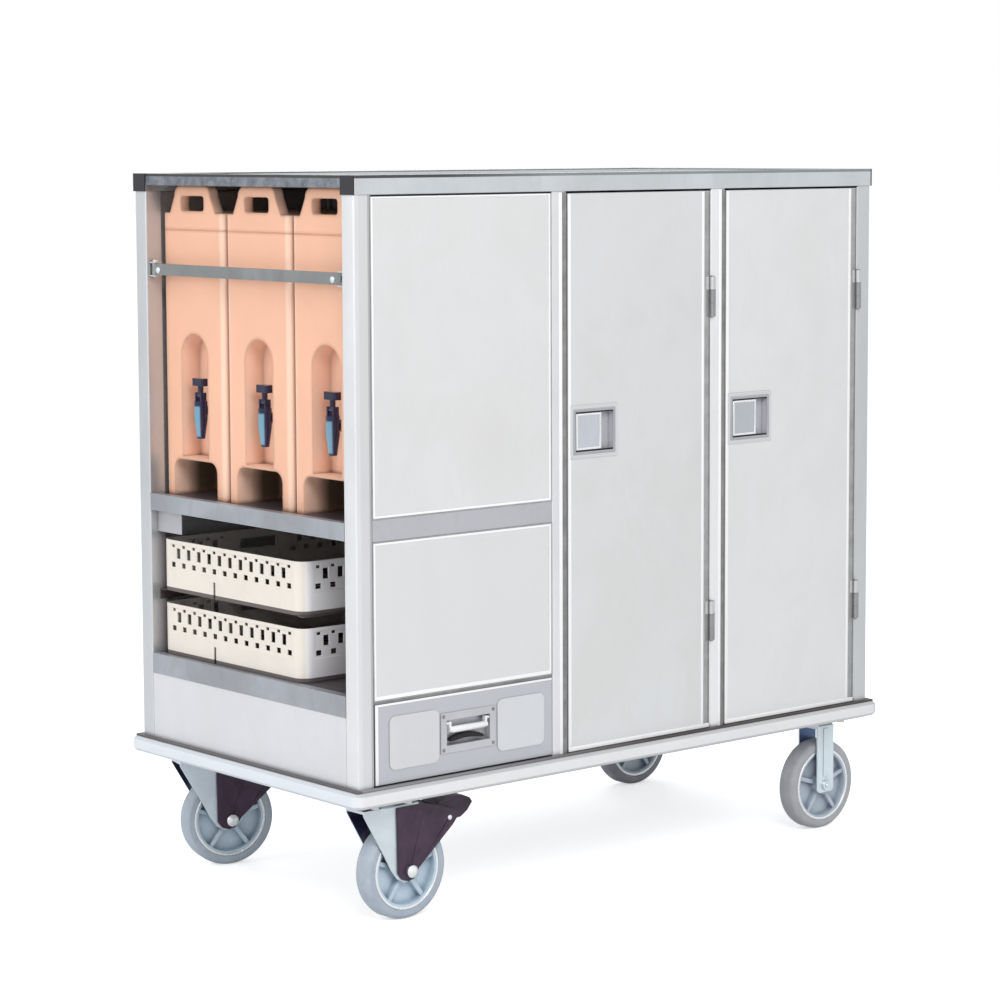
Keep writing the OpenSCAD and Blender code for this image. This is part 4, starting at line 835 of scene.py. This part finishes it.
SEAM_R = CONTAINER_R + 0.35
SEAM_LOW, SEAM_HIGH = TANK_HI.z - 1, TANK_HI.z + 0.8
CORNER_STEPS = 8


def seam_outline(y, z):
    """Rounded rectangle round a container whose middle is at y."""
    x0, x1 = TANK_LO.x + CONTAINER_R, TANK_HI.x - CONTAINER_R
    y0, y1 = y - CONTAINER_W / 2 + CONTAINER_R, y + CONTAINER_W / 2 - CONTAINER_R
    points = []
    for cx, cy, start in ((x0, y0, 180), (x1, y0, 270), (x1, y1, 0), (x0, y1, 90)):
        for i in range(CORNER_STEPS + 1):
            a = math.radians(start + 90 * i / CORNER_STEPS)
            points.append((cx + SEAM_R * math.cos(a), cy + SEAM_R * math.sin(a), z))
    return points


for name, step in (("back", 1), ("middle", 0), ("front", -1)):
    y = BODY_D / 2 + step * CONTAINER_PITCH
    prism("lid_seam_" + name, seam_outline(y, SEAM_LOW), seam_outline(y, SEAM_HIGH), "lid_seam", "cart")

# ---------------------------------------------------------------- screws and pins

BAR_SCREW = ((0, 3.0), (3.5, 2.8), (6.2, 1.9), (7.0, 0.4), (7.0, -0.5), (0, -0.5))
PIN_END = ((0, 1.6), (2.6, 1.4), (4.0, 0.6), (4.2, -0.4), (0, -0.4))
PULL_SCREW = ((0, 1.6), (1.8, 1.5), (3.4, 0.9), (4.0, -0.2))

# Two screws on the face of the retaining bar
lo, hi = mm_box("retaining_bar")
bar_face = middle("retaining_bar").x - BAR_T / 2
for name, y in (("free", lo.y + 36), ("pivot", hi.y - 22.5)):
    lathe("bar_screw_" + name, BAR_SCREW, at(bar_face, y, hi.z - 14), (-1, 0, 0),
          "fork_zinc", "retaining_bar", 28)

# Both ends of the pin of each hinge
PIN_ENDS = (
    ("a", HINGE_LO.z, -1),
    ("b", HINGE_LO.z + HINGE_H, 1),
    ("c", HINGE_HI.z - HINGE_H, -1),
    ("d", HINGE_HI.z, 1),
)
for n, (_, hi) in DOORS.items():
    for letter, z, up in PIN_ENDS:
        pin = at(hi.x + DOOR_GAP / 2, -KNUCKLE_R, z)
        lathe("hinge_pin_end_%d%s" % (n, letter), PIN_END, pin, (0, 0, up), "seal_and_shade", "cart", 20)

# ---------------------------------------------------------------- drawer pull

PULL_INSET = 7
GRIP = ((0, -44), (5.6, -44), (6.6, -42.5), (6.8, 0), (6.6, 42.5), (5.6, 44), (0, 44))
BAIL_Y = 0.5
SHADOW_HALF = 44
SHADOW_RISE = 24
SHADOW_ARCH = 6.5
SHADOW_THIN = 4.6
SHADOW_STEPS = 24
SHADOW_FRONT, SHADOW_BACK = 2.0, 14.0

plate_lo, plate_hi = mm_box("drawer_pull_plate")
pull_x = middle("drawer_pull_plate").x
screws = [(x, z) for z in (plate_lo.z + PULL_INSET, plate_hi.z - PULL_INSET)
          for x in (plate_lo.x + PULL_INSET, plate_hi.x - PULL_INSET)]
for n, (x, z) in enumerate(screws):
    lathe("pull_screw_%d" % n, PULL_SCREW, at(x, plate_lo.y, z), (0, -1, 0), "seal_and_shade", "drawer", 20)
lathe("bail_grip", GRIP, at(pull_x, BAIL_Y, mm_box("drawer_bail")[0].z + BAIL_R), (1, 0, 0),
      "bail_metal", "drawer_bail", 24)


def bail_shadow_outline(y):
    """Arched outline of the painted shadow under the bail: its lower line, then its upper one back again.
    """
    lower, upper = [], []
    for i in range(SHADOW_STEPS + 1):
        t = -1 + 2 * i / SHADOW_STEPS
        x = pull_x + SHADOW_HALF * t
        z = plate_lo.z + SHADOW_RISE + SHADOW_ARCH * (1 - t * t)
        thick = SHADOW_THIN * math.sqrt(max(0.06, 1 - t ** 6))
        lower.append((x, y, z - thick))
        upper.append((x, y, z + thick))
    return lower + upper[::-1]


# Near-black painted shadow under the drawer's bail
prism("pull_bail_shadow", bail_shadow_outline(SHADOW_BACK), bail_shadow_outline(SHADOW_FRONT), "painted_shadow", "drawer")

# ---------------------------------------------------------------- casters

NUT = ((0, 6.5), (4.5, 6.2), (8.5, 4.6), (10.5, 2.0), (13.0, 1.2), (13.0, 0.0), (0, -0.5))
CAP = ((0, 3.4), (2.8, 3.1), (5.0, 1.8), (5.8, 0), (0, -0.3))
BAND = ((81.5, 0), (81.5, 1.3), (80.5, 1.9), (77.0, 1.9), (76.0, 1.2), (76.0, 0))
NUT_OUT = 40.3
CAP_OUT = 34.3
RIGID_NUT_OUT = 36.0
BAND_OUT = 20.9


def about(x, y, degrees):
    """Turn about an upright line."""
    centre = at(x, y, 0)
    turn = Matrix.Rotation(math.radians(degrees), 4, "Z")
    return Matrix.Translation(centre) @ turn @ Matrix.Translation(-centre)


# Axle nuts, pedal pivot caps and rim bands, on both sides of each wheel
for where, y, degrees in (("front", FRONT_Y, 0), ("back", BACK_Y, BACK_TURN)):
    turn = about(SWIVEL_X, y, degrees)
    swivel = "swivel_" + where
    for side_name, side in (("near", -1), ("far", 1)):
        out = (0, side, 0)
        ends = (where, side_name)
        lathe("axle_nut_%s_%s" % ends, NUT, at(TRAIL_AXLE_X, y + side * NUT_OUT, AXLE_Z), out,
              "bright_zinc", swivel, turn=turn)
        lathe("pivot_cap_%s_%s" % ends, CAP, at(PEDAL_X, y + side * CAP_OUT, PEDAL_Z), out,
              "bright_zinc", swivel, 24, turn)
        lathe("rim_band_%s_left_%s" % ends, BAND, at(TRAIL_AXLE_X, y + side * BAND_OUT, AXLE_Z), out,
              "bright_zinc", "wheel_%s_left" % where, 64, turn)
        lathe("rigid_nut_%s_%s" % ends, CAP, at(RIGID_X, y + side * RIGID_NUT_OUT, AXLE_Z), out,
              "rigid_zinc", "cart", 24)
        lathe("rim_band_%s_right_%s" % ends, BAND, at(RIGID_X, y + side * BAND_OUT, AXLE_Z), out,
              "bright_zinc", "wheel_%s_right" % where, 64)

# ---------------------------------------------------------------- camera

CAMERA_AT = (-4.2095, -4.9243, 1.5627)
YAW, PITCH, ROLL = (math.radians(a) for a in (40.260, -5.741, -0.232))

cam_data = bpy.data.cameras.new("camera")
cam = bpy.data.objects.new("camera", cam_data)
bpy.context.scene.collection.objects.link(cam)
ahead = Vector((math.sin(YAW) * math.cos(PITCH), math.cos(YAW) * math.cos(PITCH), math.sin(PITCH)))
level = Vector((math.cos(YAW), -math.sin(YAW), 0))
above = level.cross(ahead)
right = math.cos(ROLL) * level + math.sin(ROLL) * above
up = -math.sin(ROLL) * level + math.cos(ROLL) * above
turn = Matrix((right, up, -ahead)).transposed()
cam.matrix_world = Matrix.Translation(CAMERA_AT) @ turn.to_4x4()
cam_data.sensor_width = 36
cam_data.lens = 106.33
cam_data.shift_x = 0
cam_data.shift_y = -0.06
cam_data.clip_end = 200
bpy.context.scene.camera = cam

# ---------------------------------------------------------------- light


def area(name, location, target, size, power):
    light = bpy.data.lights.new(name, "AREA")
    light.shape = "RECTANGLE"
    light.size, light.size_y = size, size
    light.energy = power
    obj = bpy.data.objects.new(name, light)
    bpy.context.scene.collection.objects.link(obj)
    obj.location = location
    obj.rotation_euler = (Vector(target) - Vector(location)).to_track_quat("-Z", "Y").to_euler()


area("key", (-2.6, -4.6, 4.2), (0, 0, 0.7), 2.6, 150)
area("side", (-5.0, 1.2, 2.6), (0, 0, 0.8), 2.4, 60)
area("back", (2.5, 4.0, 3.5), (0, 0, 0.8), 3, 60)

WHITE = (1, 1, 1, 1)
world = bpy.data.worlds.new("world")
bpy.context.scene.world = world
world.use_nodes = True
tree = world.node_tree
fill = tree.nodes["Background"]
fill.inputs["Color"].default_value = (0.97, 0.985, 1.0, 1)
fill.inputs["Strength"].default_value = 0.60
seen = node(tree, "Background", {"Color": WHITE, "Strength": 1.0})
ray = node(tree, "LightPath").outputs
direct = maths(tree, "MAXIMUM", ray["Is Camera Ray"], ray["Is Glossy Ray"])
direct = maths(tree, "MAXIMUM", direct, ray["Is Transmission Ray"])
sky = node(tree, "MixShader", {0: direct, 1: fill.outputs[0], 2: seen.outputs[0]})
tree.links.new(sky.outputs[0], tree.nodes["World Output"].inputs["Surface"])

# ---------------------------------------------------------------- floor

FLOOR_R = 60

floor_mesh = bpy.data.meshes.new("floor")
bm = bmesh.new()
bmesh.ops.create_circle(bm, cap_ends=True, radius=FLOOR_R, segments=64)
bm.to_mesh(floor_mesh)
bm.free()
floor = bpy.data.objects.new("floor", floor_mesh)
bpy.context.scene.collection.objects.link(floor)
floor_material = bpy.data.materials.new("floor")
floor_material.use_nodes = True
tree = floor_material.node_tree
matt = tree.nodes["Principled BSDF"]
matt.inputs["Roughness"].default_value = 0.9
matt.inputs["Specular IOR Level"].default_value = 0.0
tones = [(0.3, (0.90, 0.90, 0.90)), (0.7, (0.92, 0.92, 0.92))]
pale = ramp(tree, noise(tree, coords(tree), 3.0, 4), tones)
tree.links.new(pale, matt.inputs["Base Color"])
glow = node(tree, "Emission", {"Color": WHITE, "Strength": 0.54})
unlit = node(tree, "Emission", {"Strength": 0.0})
camera_ray = node(tree, "LightPath").outputs["Is Camera Ray"]
lift = node(tree, "MixShader", {0: camera_ray, 1: unlit.outputs[0], 2: glow.outputs[0]})
lifted = node(tree, "AddShader", {0: matt.outputs[0], 1: lift.outputs[0]})
tree.links.new(lifted.outputs[0], tree.nodes["Material Output"].inputs["Surface"])
floor_mesh.materials.append(floor_material)
floor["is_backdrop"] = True

bpy.context.scene.view_settings.view_transform = "Standard"

lo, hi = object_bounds()
